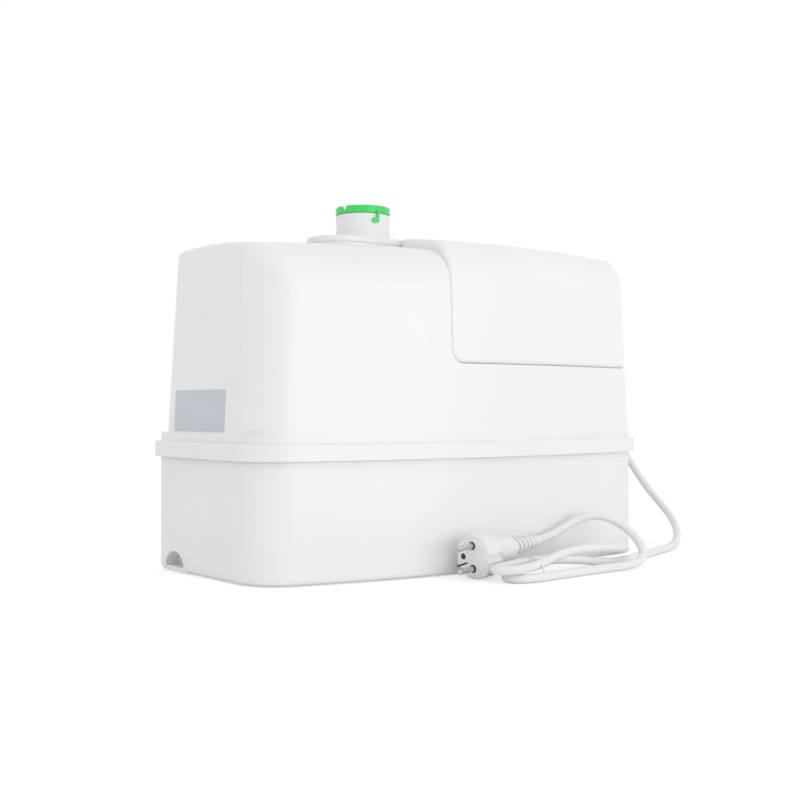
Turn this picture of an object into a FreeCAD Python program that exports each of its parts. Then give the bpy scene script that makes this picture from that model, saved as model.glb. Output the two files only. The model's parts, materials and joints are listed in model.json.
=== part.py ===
"""Waste-water lifting station: tank, hood, motor cover, pump set, discharge, inlets and mains lead.

Millimetres, +Z up. The origin is on the floor under the middle of the station. The bowed front faces -Y,
the flat back faces +Y, and the lead leaves the end at +X.
"""
import FreeCAD
import Part
import math
import os

from FreeCAD import Vector

# Plan outline, at the outer edge of the joint rim
rim_length = 454.0
rim_depth = 208.0
side_angle = 3.0
front_radius = 805.0
front_corner = 45.0
rear_corner = 24.0

# Tank
tank_wall = 3.2
rim_overhang = 5.0
pad_stand = 1.0
tank_height = 107.0
tank_edge = 4.0
pad_radius = 12.0
pad_sink = 2.0
tank_lip = 2.0
tank_lip_height = 6.0
ledge_width = 9.0
ledge_height = 4.0
boss_radius = 5.0
boss_length = 16.0

# Hood and its joint rim
rim_bottom = 98.6
rim_top = 112.0
rim_edge = 1.6
skirt_wall = 2.4
hood_wall = 3.2
hood_draft = 2.0
end_panel_x = 214.5
end_panel_lean = 2.8
end_panel_base = 119.5
crown_top = 285.5
crown_radius_y = 690.0
crown_radius_x = 2740.0
crown_middle_y = 45.0
shoulder = 34.0
roof_edge = 6.0
upper_front_corner = 38.0
upper_rear_corner = 20.0
front_edge_limit = -30.0

# Motor cover
seam_x = -40.0
seam_z = 178.0
seam_corner = 12.0
seam_gap = 0.25
cover_rise = 9.5
cover_middle_x = 40.0
cover_seam_edge = 4.0
cover_screw_z = 185.5
tongue_wall = 2.2
tongue_gap = 0.5
tongue_root = 6.0
lap_gap = 0.3
tongue_height = 14.0
cover_screw_xs = [12.0, 150.0]

# Discharge
spigot_x = -60.0
spigot_y = 8.0
spigot_radius = 23.9
spigot_bore = 19.0
spigot_top = 312.3
plate_bottom = 284.2
plate_top = 290.0
plate_half_length = 54.0
plate_half_width = 29.5
plate_overhang = 2.0
plate_side_overhang = 1.0
plate_clearance = 0.3
plate_edge = 2.0
plate_screw_offset = 43.0
socket_radius = 27.2
socket_length = 22.0
cap_wall = 1.6
cap_height = 6.4
cap_seat = 0.3
cap_plug_length = 9.0
bay_margin = 3.0
bay_bottom = 262.0
bay_wall = 2.4

# Deck plate, which closes the tank
deck_thickness = 4.0
gasket_thickness = 2.0
deck_gap = 0.4
deck_rib = 6.0
grommet_radius = 21.0
vent_x = -150.0
vent_y = -46.0
vent_radius = 20.0

# Pump and motor
pump_x = 105.0
pump_y = -22.0
volute_radius = 46.0
chamber_radius = 38.0
volute_bottom = 16.0
volute_height = 26.0
volute_wall = 3.0
outlet_offset = 30.0
pipe_radius = 16.0
pipe_bore = 13.0
pipe_socket_wall = 3.4
pipe_bend = 36.0
impeller_radius = 33.0
impeller_disc = 3.0
vane_height = 7.0
vane_wall = 2.6
vane_count = 6
shaft_radius = 5.0
suction_radius = 17.0
strainer_thickness = 4.0
column_radius = 24.0
column_bore = 17.0
column_flange = 36.0
mount_height = 4.0
shield_thickness = 12.0
shield_radius = 64.0
can_radius = 52.0
can_wall = 2.5
can_height = 96.0
stack_height = 58.0
rotor_radius = 26.4
bearing_radius = 15.0
bearing_width = 9.0
air_gap = 0.6

# Check valve
valve_radius = 31.0
valve_wall = 3.5
valve_seat = 216.0
seat_thickness = 3.0
seat_radius = 17.0
flap_radius = 20.4
flap_thickness = 3.0
flap_hinge = 23.0
pin_radius = 1.5

# Inlets
inlet_height = 52.0
side_inlet_y = 25.0
side_inlet_x = 225.5
back_inlet_x = -100.0
back_inlet_y = 100.6
inlet_outer = 29.0
inlet_inner = 25.2
inlet_depth = 28.0
sleeve_bore = 19.8
sleeve_length = 22.0
sleeve_lip = 2.0
inlet_flap_wall = 2.5
flap_pin_x = -inlet_depth - inlet_flap_wall - 0.6
flap_pin_z = inlet_inner + 3.4
ear_gap = 6.0
ear_wall = 3.0

# Level switch
switch_x = -150.0
switch_y = 20.0
dip_radius = 17.0
dip_wall = 2.5
dip_bottom = 12.0
dish_radius = 38.0
dish_wall = 5.0
dish_depth = 7.0
membrane_wall = 2.0
plunger_radius = 4.0
plunger_length = 17.0
lever_arm = 14.0

# Floor fixings
niche_y = 58.0
niche_width = 34.0
niche_top = 19.0
niche_depth = 11.0
tab_thickness = 4.0
fixing_radius = 2.75

# Lead
cord_radius = 3.75
gland_y = 48.0
gland_z = 139.0
gland_tip = 240.0
gland_thread = 8.0

# Check valve, pipe and pump heights
socket_bottom = 262.0
valve_top = 270.0
boss_bottom = 271.5
valve_bottom = 198.0
riser_top = 209.0
pipe_z = 29.0
pipe_start_x = 53.5
outlet_socket_x = 44.0
outlet_socket_length = 10.0
outlet_bore = 10.0
clamp_width = 9.0
lug_inner = 5.4
lug_width = 3.0
impeller_bottom = 21.0
strainer_slots = 12
column_base = 4.0
shaft_top = 230.0
mount_circle = 60.0
mount_angles = [45.0, 135.0, 225.0, 315.0]
mount_screw_radius = 2.1

# Small parts
plate_screw_radius = 1.7
plate_screw_head = 3.6
cover_screw_radius = 1.7
cover_screw_head = 3.6
screw_head_gap = 0.35
lug_half = 7.0
lug_places = [(-150.0, -1), (-50.0, -1), (50.0, -1), (150.0, -1), (-110.0, 1), (110.0, 1)]
notch_turn = 13.0
tab_turn = -3.0
tab_width = 1.7
tab_length = 9.0
tab_gap = 0.9
inlet_plug_length = 18.0
inlet_plug_seat = 2.3

# Electrical parts
capacitor_x = 187.0
capacitor_y = -35.0
capacitor_radius = 17.5
terminal_plan = (158.0, 194.0, 34.0, 70.0)
terminal_top = 147.0
switch_bottom = 147.0
bracket_y = 27.0
gland_flats = 22.0
gland_inner_x = 202.0

# Lead, hank and plug
lead_route = [
    (240, 48, 139), (254, 48, 139), (270.5, 47.3, 134), (285.5, 44, 123.5), (295.5, 37.5, 108.5), (300.5, 28.5, 89),
    (302.8, 15, 70.5), (302.5, -1, 54), (300, -20, 40), (294.5, -40, 28), (282.5, -59, 16.5), (264, -75, 7.5),
    (241, -88, 3.9), (214, -98, 3.9), (187, -110, 3.9), (161, -119, 3.9), (137.5, -128.3, 3.9),
]
floor_gap = 0.15
hank_height = 23.0
hank_front_height = 19.0
hank_plan = [
    (-48, -163), (-40, -172.5), (0, -172.5), (50, -168), (128, -168), (140, -156), (140, -118), (128, -105),
    (60, -99.5), (52, -134.8), (-14, -135.5), (-22, -146.5), (-44, -147.5), (-48, -152),
]
hump_plan = [(56, -100), (112, -102), (140, -140), (140, -158), (128, -158), (104, -114), (56, -112)]
hump_profile = [(50, 0), (50, 31), (70, 34), (98, 45), (106, 48), (114, 47), (124, 36), (145, 18), (145, 0)]
strand_length = 18.0
tie_x = -4.0
tie_width = 5.0
tie_front = -172.0
tie_back = -136.0
plug_face = (-42.6, -126.3, 18.5)
plug_turn = 11.2
plug_tilt = 4.0
plug_radius = 18.4
plug_length = 87.0
pin_pitch = 19.0
plug_pin_radius = 2.4

run_gap = 0.05
seat_gap = 0.1

tank_bottom = pad_stand
tank_top = tank_bottom + tank_height
ledge_top = tank_top - ledge_height
deck_bottom = ledge_top + gasket_thickness
deck_top = deck_bottom + deck_thickness
tank_inner = rim_overhang + tank_wall
half_depth = rim_depth / 2
half_length = rim_length / 2


def save(name, shape):
    """Write one node; groups of like pieces are compounds of separate solids."""
    shape.exportStep("parts/" + name + ".step")


def group(shapes):
    return Part.makeCompound(shapes)


def cylinder(x, y, z0, z1, radius):
    return Part.makeCylinder(radius, z1 - z0, Vector(x, y, z0))


def tube(x, y, z0, z1, outer, inner):
    return cylinder(x, y, z0, z1, outer).cut(cylinder(x, y, z0 - 1, z1 + 1, inner))


def rod(start, direction, length, radius):
    return Part.makeCylinder(radius, length, start, direction)


def block(x0, x1, y0, y1, z0, z1):
    return Part.makeBox(x1 - x0, y1 - y0, z1 - z0, Vector(x0, y0, z0))


def fuse_all(shapes):
    return shapes[0].multiFuse(shapes[1:]).removeSplitter()


def turned(points, x=0.0, y=0.0):
    """Solid of revolution about the vertical through (x, y), from (radius, height) points."""
    loop = [Vector(x + r, y, z) for r, z in points]
    face = Part.Face(Part.makePolygon(loop + [loop[0]]))
    return face.revolve(Vector(x, y, 0), Vector(0, 0, 1), 360)


def stadium(x, y, reach, half_width, z0, z1):
    """Upright prism with straight sides along X and round ends."""
    run = reach - half_width
    ends = [cylinder(x - run, y, z0, z1, half_width), cylinder(x + run, y, z0, z1, half_width)]
    middle = block(x - run, x + run, y - half_width, y + half_width, z0, z1)
    return fuse_all(ends + [middle])


def ring_points(count, radius, x, y, first=0.0):
    """Evenly spaced places on a circle."""
    angles = [math.radians(first + 360.0 * i / count) for i in range(count)]
    return [(x + radius * math.cos(a), y + radius * math.sin(a)) for a in angles]


def outline(z, half_x, tilt_degrees, inset_y, front, rear):
    """Closed plan outline: flat back, bowed front, straight sides that may taper, and four round corners."""
    tilt = math.radians(tilt_degrees)
    along = Vector(-math.sin(tilt), -math.cos(tilt), 0)
    inward = Vector(-math.cos(tilt), math.sin(tilt), 0)
    corner = Vector(half_x, half_depth, 0)
    bow_middle = Vector(0, front_radius - half_depth, 0)
    bow = front_radius - inset_y
    y_back = half_depth - inset_y

    base = corner + inward * front
    reach = base - bow_middle
    dot = reach.dot(along)
    run = -dot + math.sqrt(dot * dot - reach.dot(reach) + (bow - front) ** 2)
    front_middle = base + along * run
    front_side = front_middle - inward * front
    ray = (front_middle - bow_middle).normalize()
    front_end = bow_middle + ray * bow
    front_arc = front_middle + (ray - inward).normalize() * front

    base = corner + inward * rear
    rear_middle = base + along * ((base.y - y_back + rear) / math.cos(tilt))
    rear_side = rear_middle - inward * rear
    rear_end = rear_middle + Vector(0, rear, 0)
    rear_arc = rear_middle + (Vector(0, 1, 0) - inward).normalize() * rear

    def at(p, mirror=False):
        return Vector(-p.x if mirror else p.x, p.y, z)

    front_mid = Vector(0, -half_depth + inset_y, z)
    edges = [
        Part.makeLine(at(rear_end, True), at(rear_end)),
        Part.Arc(at(rear_end), at(rear_arc), at(rear_side)).toShape(),
        Part.makeLine(at(rear_side), at(front_side)),
        Part.Arc(at(front_side), at(front_arc), at(front_end)).toShape(),
        Part.Arc(at(front_end), front_mid, at(front_end, True)).toShape(),
        Part.Arc(at(front_end, True), at(front_arc, True), at(front_side, True)).toShape(),
        Part.makeLine(at(front_side, True), at(rear_side, True)),
        Part.Arc(at(rear_side, True), at(rear_arc, True), at(rear_end, True)).toShape(),
    ]
    return Part.Wire(edges)


def plan_wire(inset, z):
    """Outline of the tank and the rim, a distance inside the rim's edge."""
    half_x = half_length - inset / math.cos(math.radians(side_angle))
    front = max(front_corner - inset, 1.0)
    return outline(z, half_x, side_angle, inset, front, max(rear_corner - inset, 1.0))


def plan_prism(inset, z0, z1):
    return Part.Face(plan_wire(inset, z0)).extrude(Vector(0, 0, z1 - z0))


def front_y(x, inset):
    """Y of the bowed front at a distance inside the rim's edge."""
    bow = front_radius - inset
    return front_radius - half_depth - math.sqrt(bow * bow - x * x)


def side_x(y, inset):
    """X of the tapered +X side at a distance inside the rim's edge."""
    tilt = math.radians(side_angle)
    return half_length - inset / math.cos(tilt) - (half_depth - y) * math.tan(tilt)


def deck_screw_places():
    inset = tank_inner + ledge_width / 2
    back = [(x, half_depth - inset) for x in (-165.0, -45.0, 45.0, 165.0)]
    front = [(x, front_y(x, inset)) for x in (-125.0, 0.0, 125.0)]
    ends = [(s * side_x(-10.0, inset), -10.0) for s in (-1, 1)]
    return back + front + ends


def arch(width, z0, z1, x0, x1):
    """Prism along X with upright sides and a round top, centred on Y = 0."""
    spring = z1 - width * 0.32
    left = Vector(x0, -width / 2, z0)
    right = Vector(x0, width / 2, z0)
    left_top = Vector(x0, -width / 2, spring)
    right_top = Vector(x0, width / 2, spring)
    crown = Part.Arc(right_top, Vector(x0, 0, z1), left_top).toShape()
    lines = [Part.makeLine(left, right), Part.makeLine(right, right_top), crown, Part.makeLine(left_top, left)]
    return Part.Face(Part.Wire(lines)).extrude(Vector(x1 - x0, 0, 0))


def on_side_inlet(shape):
    """Carry an inlet part, drawn along +X with its mouth at the origin, to the end wall."""
    placed = shape.copy()
    placed.translate(Vector(side_inlet_x, side_inlet_y, inlet_height))
    return placed


def on_back_inlet(shape):
    """Carry an inlet part, drawn along +X with its mouth at the origin, to the back wall."""
    placed = shape.copy()
    placed.rotate(Vector(0, 0, 0), Vector(0, 0, 1), 90)
    placed.translate(Vector(back_inlet_x, back_inlet_y, inlet_height))
    return placed


def lying_tube(x0, x1, outer, inner):
    body = rod(Vector(x0, 0, 0), Vector(1, 0, 0), x1 - x0, outer)
    return body.cut(rod(Vector(x0 - 1, 0, 0), Vector(1, 0, 0), x1 - x0 + 2, inner))


def inlet_socket():
    """Moulded socket with two ears over its inner end for the flap's pin."""
    body = lying_tube(-inlet_depth, 0, inlet_outer, inlet_inner)
    for side in (-1, 1):
        y0 = side * ear_gap - (ear_wall if side < 0 else 0)
        z0 = inlet_inner + 1.6
        ear = block(flap_pin_x - 3, -inlet_depth + 2, y0, y0 + ear_wall, z0, flap_pin_z + 3)
        body = body.fuse(ear)
    hole = rod(Vector(flap_pin_x, -20, flap_pin_z), Vector(0, 1, 0), 40, pin_radius + seat_gap / 4)
    return body.cut(hole)


def inlet_sleeve():
    """Rubber sleeve that grips the waste pipe: outer lip at the mouth, three sealing ribs outside."""
    outer = inlet_inner - seat_gap
    thin = outer - 1.6
    points = [(sleeve_bore, 0), (outer + 3, 0), (outer + 3, sleeve_lip), (outer, sleeve_lip)]
    rib = (sleeve_length - sleeve_lip) / 6
    for i in range(3):
        z = sleeve_lip + rib * (2 * i + 1)
        points += [(outer, z), (thin, z + rib * 0.2), (thin, z + rib * 0.9), (outer, z + rib)]
    points += [(outer, sleeve_length + sleeve_lip), (sleeve_bore, sleeve_length + sleeve_lip)]
    sleeve = turned(points)
    sleeve.rotate(Vector(0, 0, 0), Vector(0, 1, 0), -90)
    sleeve.translate(Vector(sleeve_lip, 0, 0))
    return sleeve


def inlet_flap():
    """Round flap that hangs on its pin and shuts on the socket's inner end."""
    x0 = -inlet_depth - inlet_flap_wall - 0.3
    disc = rod(Vector(x0, 0, 0), Vector(1, 0, 0), inlet_flap_wall, inlet_inner + 1.2)
    rim_cut = rod(Vector(x0 - 1, 0, 0), Vector(1, 0, 0), 2.2, inlet_inner - 3)
    disc = disc.cut(rim_cut)
    half = ear_gap - 0.4
    arm = block(x0, x0 + inlet_flap_wall, -half, half, inlet_inner - 6, flap_pin_z)
    knuckle = rod(Vector(flap_pin_x, -half, flap_pin_z), Vector(0, 1, 0), 2 * half, 2.7)
    hole = rod(Vector(flap_pin_x, -20, flap_pin_z), Vector(0, 1, 0), 40, pin_radius + run_gap)
    return fuse_all([disc, arm, knuckle]).cut(hole)


def niche_space(side):
    """Space cut into an end wall over one floor-fixing tab."""
    outer = side_x(niche_y, rim_overhang)
    space = arch(niche_width, tank_bottom + tab_thickness, niche_top, outer - niche_depth, half_length + 5)
    space.translate(Vector(0, niche_y, 0))
    return space if side > 0 else space.mirror(Vector(0, 0, 0), Vector(1, 0, 0))


def niche_shell(side):
    """Wall moulded round one fixing niche, inside the tank."""
    outer = side_x(niche_y, rim_overhang)
    shell = arch(
        niche_width + 2 * tank_wall, tank_bottom, niche_top + tank_wall, outer - niche_depth - tank_wall, outer - 0.5
    )
    shell.translate(Vector(0, niche_y, 0))
    shell = shell if side > 0 else shell.mirror(Vector(0, 0, 0), Vector(1, 0, 0))
    return shell.common(plan_prism(rim_overhang + 0.2, tank_bottom, tank_top))


def fixing_x():
    return side_x(niche_y, rim_overhang) - niche_depth / 2


def pad_places():
    inset = tank_inner + 22.0
    front = [(x, front_y(x, inset)) for x in (-130.0, 130.0)]
    back = [(x, half_depth - inset) for x in (-160.0, 160.0)]
    return front + back


def tank():
    """Open-topped tank: lipped rim, inner ledge with screw bosses, inlets, fixing niches and pad seats."""
    body = plan_prism(rim_overhang, tank_bottom, tank_top)
    base_edges = [e for e in body.Edges if e.BoundBox.ZMax < tank_bottom + 0.1]
    body = body.makeFillet(tank_edge, base_edges)
    lip = plan_prism(rim_overhang - tank_lip, tank_top - tank_lip_height, tank_top)
    body = body.fuse(lip)
    floor_top = tank_bottom + tank_wall
    hollow = plan_prism(tank_inner, floor_top, ledge_top - ledge_height)
    well = plan_prism(tank_inner + ledge_width, floor_top + 5, tank_top)
    seat = plan_prism(tank_inner, ledge_top, tank_top + 1)
    body = body.cut(hollow).cut(well).cut(seat)
    bosses = [cylinder(x, y, ledge_top - boss_length, ledge_top, boss_radius) for x, y in deck_screw_places()]
    inner_space = plan_prism(rim_overhang + 0.5, tank_bottom, ledge_top)
    additions = [boss.common(inner_space) for boss in bosses]
    additions += [niche_shell(-1), niche_shell(1)]
    additions += [on_side_inlet(inlet_socket()), on_back_inlet(inlet_socket())]
    body = fuse_all([body] + additions)
    bore = rod(Vector(-inlet_depth, 0, 0), Vector(1, 0, 0), inlet_depth + 5, inlet_inner)
    cuts = [on_side_inlet(bore), on_back_inlet(bore), niche_space(-1), niche_space(1)]
    cuts += [cylinder(x, y, ledge_top - boss_length + 2, tank_top, 1.9) for x, y in deck_screw_places()]
    cuts += [cylinder(s * fixing_x(), niche_y, 0, niche_top, fixing_radius) for s in (-1, 1)]
    cuts += [cylinder(x, y, 0, tank_bottom + pad_sink, pad_radius + seat_gap) for x, y in pad_places()]
    for cut in cuts:
        body = body.cut(cut)
    return body


def base_pads():
    return group([cylinder(x, y, 0, tank_bottom + pad_sink, pad_radius) for x, y in pad_places()])


def deck_gasket():
    ring = plan_prism(tank_inner + deck_gap, ledge_top, deck_bottom)
    ring = ring.cut(plan_prism(tank_inner + ledge_width, ledge_top - 1, deck_bottom + 1))
    for x, y in deck_screw_places():
        ring = ring.cut(cylinder(x, y, 0, tank_top + 9, 2.3))
    return ring


def deck_plate():
    """Plate that closes the tank and carries the motor, valve pipe, level switch and vent."""
    plate = plan_prism(tank_inner + deck_gap, deck_bottom, deck_top)
    for y in (-50.0, 50.0):
        plate = plate.fuse(block(-100, 40, y - 1.5, y + 1.5, deck_bottom - deck_rib, deck_bottom))
    holes = [cylinder(pump_x, pump_y, 0, 200, column_radius + seat_gap)]
    holes += [cylinder(spigot_x, spigot_y, 0, 200, grommet_radius - 2)]
    holes += [cylinder(switch_x, switch_y, 0, 200, dip_radius + seat_gap)]
    holes += [cylinder(vent_x, vent_y, 0, 200, vent_radius - 6)]
    holes += [cylinder(x, y, 0, 200, 2.3) for x, y in deck_screw_places()]
    holes += [cylinder(x, y, 0, 200, 2.2) for x, y in mount_places()]
    for hole in holes:
        plate = plate.cut(hole)
    return plate


def screw(x, y, seat, shank, radius, head_radius, head_height):
    """Upright pan-head screw."""
    body = cylinder(x, y, seat - shank, seat, radius)
    return body.fuse(cylinder(x, y, seat, seat + head_height, head_radius)).removeSplitter()


def deck_screws():
    return group([screw(x, y, deck_top, 14.0, 1.8, 3.6, 2.2) for x, y in deck_screw_places()])


def crown_space(top, middle_x):
    """Space under a top surface that is crowned along both X and Y."""
    y0 = -half_depth - 20
    y1 = half_depth + 20
    low = tank_bottom

    def height(y):
        return top - (y - crown_middle_y) ** 2 / (2 * crown_radius_y)

    arc = Part.Arc(
        Vector(middle_x, y0, height(y0)), Vector(middle_x, crown_middle_y, top), Vector(middle_x, y1, height(y1))
    ).toShape()
    corners = [Vector(middle_x, y1, low), Vector(middle_x, y0, low)]
    sides = [
        Part.makeLine(Vector(middle_x, y1, height(y1)), corners[0]),
        Part.makeLine(corners[0], corners[1]),
        Part.makeLine(corners[1], Vector(middle_x, y0, height(y0))),
    ]
    face = Part.Face(Part.Wire([arc] + sides))
    centre = Vector(middle_x, 0, top - crown_radius_x)
    sweep = 2 * math.degrees(math.asin((half_length + 60 + abs(middle_x)) / crown_radius_x))
    face.rotate(centre, Vector(0, 1, 0), -sweep / 2)
    return face.revolve(centre, Vector(0, 1, 0), sweep)


def middle_of(edge):
    return edge.valueAt((edge.FirstParameter + edge.LastParameter) / 2)


def roof_of(body):
    """Largest crowned face on top."""
    return max((f for f in body.Faces if f.Surface.TypeId == "Part::GeomToroid"), key=lambda f: f.Area)


def panel_x(z, inset=0.0):
    """X of the +X end panel's face at a height."""
    return end_panel_x - inset - math.tan(math.radians(end_panel_lean)) * (z - end_panel_base)


def hood_inset(z):
    """How far the drafted front and back stand inside the rim's edge at a height."""
    return rim_overhang + math.tan(math.radians(hood_draft)) * (z - rim_top)


def upper_section(z, inset):
    """Outline of the hood between its flat end panels at a height."""
    front = upper_front_corner - inset
    return outline(z, panel_x(z, inset), 0.0, hood_inset(z) + inset, front, upper_rear_corner - inset)


def round_roof(body, inset):
    """Round the whole roof edge: broad along the front, running out round the corners to a small radius."""
    broad = shoulder - inset
    small = max(roof_edge - inset, 1.5)
    roof = roof_of(body)
    picks = []
    for number, edge in enumerate(body.Edges, 1):
        if not any(edge.isSame(other) for other in roof.Edges):
            continue
        place = middle_of(edge)
        start = edge.valueAt(edge.FirstParameter)
        end = edge.valueAt(edge.LastParameter)
        first = last = small
        if place.y < 0 and edge.Length > half_length:
            first = last = broad
        elif place.y < front_edge_limit and abs(start.x - end.x) > 10:
            first, last = (broad, small) if start.y < end.y else (small, broad)
        picks.append((number, first, last))
    document = FreeCAD.newDocument("roof")
    base = document.addObject("Part::Feature", "base")
    base.Shape = body
    fillet = document.addObject("Part::Fillet", "fillet")
    fillet.Base = base
    fillet.Edges = picks
    document.recompute()
    rounded = fillet.Shape.copy()
    FreeCAD.closeDocument("roof")
    return rounded


def upper_body(inset, top, middle_x):
    """Drafted body above the ledge with flat leaning ends, a crowned top and a rounded roof edge."""
    sections = [upper_section(end_panel_base - inset, inset), upper_section(top + 20, inset)]
    walls = Part.makeLoft(sections, True, True)
    return round_roof(walls.common(crown_space(top - inset, middle_x)), inset)


def ledge_body(inset, base):
    """Body of the hood below the ledge at its ends."""
    start = plan_wire(rim_overhang + inset, rim_top)
    end_z = end_panel_base - inset
    band = Part.makeLoft([start, plan_wire(hood_inset(end_z) + inset, end_z)], True, True)
    return band.fuse(plan_prism(rim_overhang + inset, base, rim_top))


def plate_bay(offset, z0, z1):
    """Upright prism of the bay that the discharge plate sits in."""
    reach = plate_half_length + bay_margin + offset
    return stadium(spigot_x, spigot_y, reach, plate_half_width + bay_margin + offset, z0, z1)


def cover_region(offset):
    """Space that belongs to the motor cover, smaller by the offset on every side."""
    x0 = seam_x + offset
    z0 = seam_z + offset
    high = crown_top + 60
    far = half_length + 60
    r = seam_corner - offset if seam_corner > offset + 1 else 1.0
    inset = r * (1 - math.sqrt(0.5))
    corner = [Vector(x0, -200, z0 + r), Vector(x0 + inset, -200, z0 + inset), Vector(x0 + r, -200, z0)]
    lines = [
        Part.Arc(corner[0], corner[1], corner[2]).toShape(),
        Part.makeLine(corner[2], Vector(far, -200, z0)),
        Part.makeLine(Vector(far, -200, z0), Vector(far, -200, high)),
        Part.makeLine(Vector(far, -200, high), Vector(x0, -200, high)),
        Part.makeLine(Vector(x0, -200, high), corner[0]),
    ]
    region = Part.Face(Part.Wire(lines)).extrude(Vector(0, 400, 0))
    return region.cut(plate_bay(offset, bay_bottom, high))


def snap_lugs():
    """Small lugs inside the rim band that catch under the tank's lip."""
    ring = plan_prism(skirt_wall - 0.2, rim_bottom + 0.8, tank_top - tank_lip_height - 0.4)
    ring = ring.cut(plan_prism(rim_overhang - 0.8, rim_bottom, rim_top))
    lugs = []
    for x, side in lug_places:
        y0 = -200 if side < 0 else 0
        lugs.append(ring.common(block(x - lug_half, x + lug_half, y0, y0 + 200, 0, rim_top)))
    return lugs


def rim_skirt():
    """Rim band of the hood, which covers the tank's lip."""
    skirt = plan_prism(0, rim_bottom, rim_top)
    edges = [e for e in skirt.Edges if e.BoundBox.ZLength < 0.1 and e.BoundBox.ZMax > rim_top - 0.1]
    skirt = skirt.makeFillet(rim_edge, edges)
    skirt = skirt.cut(plan_prism(skirt_wall, rim_bottom - 1, tank_top + seat_gap))
    return skirt.cut(plan_prism(rim_overhang + hood_wall, rim_bottom - 1, rim_top + 1))


def cover_tongue():
    """Strip inside the hood's opening that the motor cover slips over, with its root on the hood's wall."""
    inside = upper_body(hood_wall + tongue_gap + tongue_wall, crown_top, 0)
    band = cover_region(-tongue_root).cut(cover_region(tongue_height))
    strip = upper_body(hood_wall + tongue_gap, crown_top, 0).cut(inside).common(band)
    root = cover_region(-tongue_root).cut(cover_region(-0.5))
    seat = upper_body(hood_wall - 0.1, crown_top, 0).cut(inside).common(root)
    return strip.fuse(seat)


def bay_wall_ring():
    """Upright wall between the discharge bay and the motor space."""
    ring = plate_bay(0, bay_bottom, crown_top + 30).cut(plate_bay(-bay_wall, 0, 400))
    return ring.common(upper_body(0.6, crown_top, 0)).common(block(seam_x - 5, 200, -200, 200, 0, 400))


def hood():
    """Shell over the deck, open below, with the discharge bay and a tongue for the motor cover."""
    outer = upper_body(0, crown_top, 0).fuse(ledge_body(0, tank_top + seat_gap))
    inner = upper_body(hood_wall, crown_top, 0).fuse(ledge_body(hood_wall, tank_top - 1))
    shell = outer.cut(inner).cut(cover_region(0))
    reach = plate_half_length - plate_overhang
    boss = stadium(spigot_x, spigot_y, reach, plate_half_width - plate_side_overhang, boss_bottom, plate_bottom)
    body = fuse_all([shell, rim_skirt(), cover_tongue(), boss, bay_wall_ring()] + snap_lugs())
    cuts = [cylinder(spigot_x, spigot_y, 0, 400, socket_radius + seat_gap)]
    cuts += [cylinder(x, spigot_y, 0, 400, plate_screw_radius + seat_gap) for x in plate_screw_xs()]
    cuts.append(rod(Vector(100, gland_y, gland_z), Vector(1, 0, 0), 200, gland_thread + seat_gap))
    across = Vector(0, 1, 0)
    cuts += [rod(Vector(x, 0, cover_screw_z), across, 200, cover_screw_radius + 0.1) for x in cover_screw_xs]
    reach = plate_half_length + plate_clearance
    width = plate_half_width + plate_clearance
    cuts.append(stadium(spigot_x, spigot_y, reach, width, plate_bottom, crown_top + cover_rise))
    for cut in cuts:
        body = body.cut(cut)
    return body


def motor_cover():
    """Domed cover over the motor, with a rounded edge along the seam and round the discharge bay."""
    top = crown_top + cover_rise
    outer = upper_body(0, top, cover_middle_x).common(cover_region(seam_gap))
    edges = []
    for edge in outer.Edges:
        place = middle_of(edge)
        near = place.x < spigot_x + plate_half_length + bay_margin + 6
        if near and abs(place.y) < 70 and place.z > crown_top and edge.Curve.TypeId != "Part::GeomLine":
            edges.append(edge)
    outer = outer.makeFillet(cover_seam_edge, edges)
    inner = upper_body(hood_wall, top, cover_middle_x).common(cover_region(seam_gap + hood_wall))
    lap = upper_body(hood_wall + lap_gap, crown_top, 0).common(cover_region(-3.0))
    body = outer.cut(inner).cut(lap)
    for x in cover_screw_xs:
        body = body.cut(rod(Vector(x, 60, cover_screw_z), Vector(0, 1, 0), 80, cover_screw_radius + 0.6))
    return body


def cover_screws():
    """Pan-head screws through the back of the cover into the hood's tongue."""
    screws = []
    for x in cover_screw_xs:
        y = half_depth - hood_inset(cover_screw_z) + screw_head_gap
        shank = rod(Vector(x, y - 10, cover_screw_z), Vector(0, 1, 0), 10, cover_screw_radius)
        head = rod(Vector(x, y, cover_screw_z), Vector(0, 1, 0), 2.2, cover_screw_head)
        screws.append(shank.fuse(head))
    return group(screws)


def plate_screw_xs():
    return [spigot_x - plate_screw_offset, spigot_x + plate_screw_offset]


def discharge_fitting():
    """Discharge plate with its under-socket and spigot, bored through."""
    plate = stadium(spigot_x, spigot_y, plate_half_length, plate_half_width, plate_bottom, plate_top)
    edges = [e for e in plate.Edges if e.BoundBox.ZLength < 0.1]
    plate = plate.makeFillet(plate_edge, edges)
    points = [
        (0, socket_bottom), (socket_radius - 1, socket_bottom), (socket_radius, socket_bottom + 1),
        (socket_radius, plate_bottom + 1), (spigot_radius + 2, plate_bottom + 1), (spigot_radius + 2, plate_top),
        (spigot_radius, plate_top + 2), (spigot_radius, spigot_top - 0.6), (spigot_radius - 0.6, spigot_top),
        (0, spigot_top),
    ]
    body = fuse_all([plate, turned(points, spigot_x, spigot_y)])
    body = body.cut(cylinder(spigot_x, spigot_y, 0, 400, spigot_bore))
    for x in plate_screw_xs():
        depth = plate_screw_head - plate_screw_radius
        sink = [(0, plate_top - depth), (plate_screw_radius + 0.1, plate_top - depth - 0.1)]
        sink += [(plate_screw_head + 0.2, plate_top + 0.1), (0, plate_top + 0.1)]
        body = body.cut(turned(sink, x, spigot_y))
        body = body.cut(cylinder(x, spigot_y, 0, plate_top, plate_screw_radius + 0.1))
    return body


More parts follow.
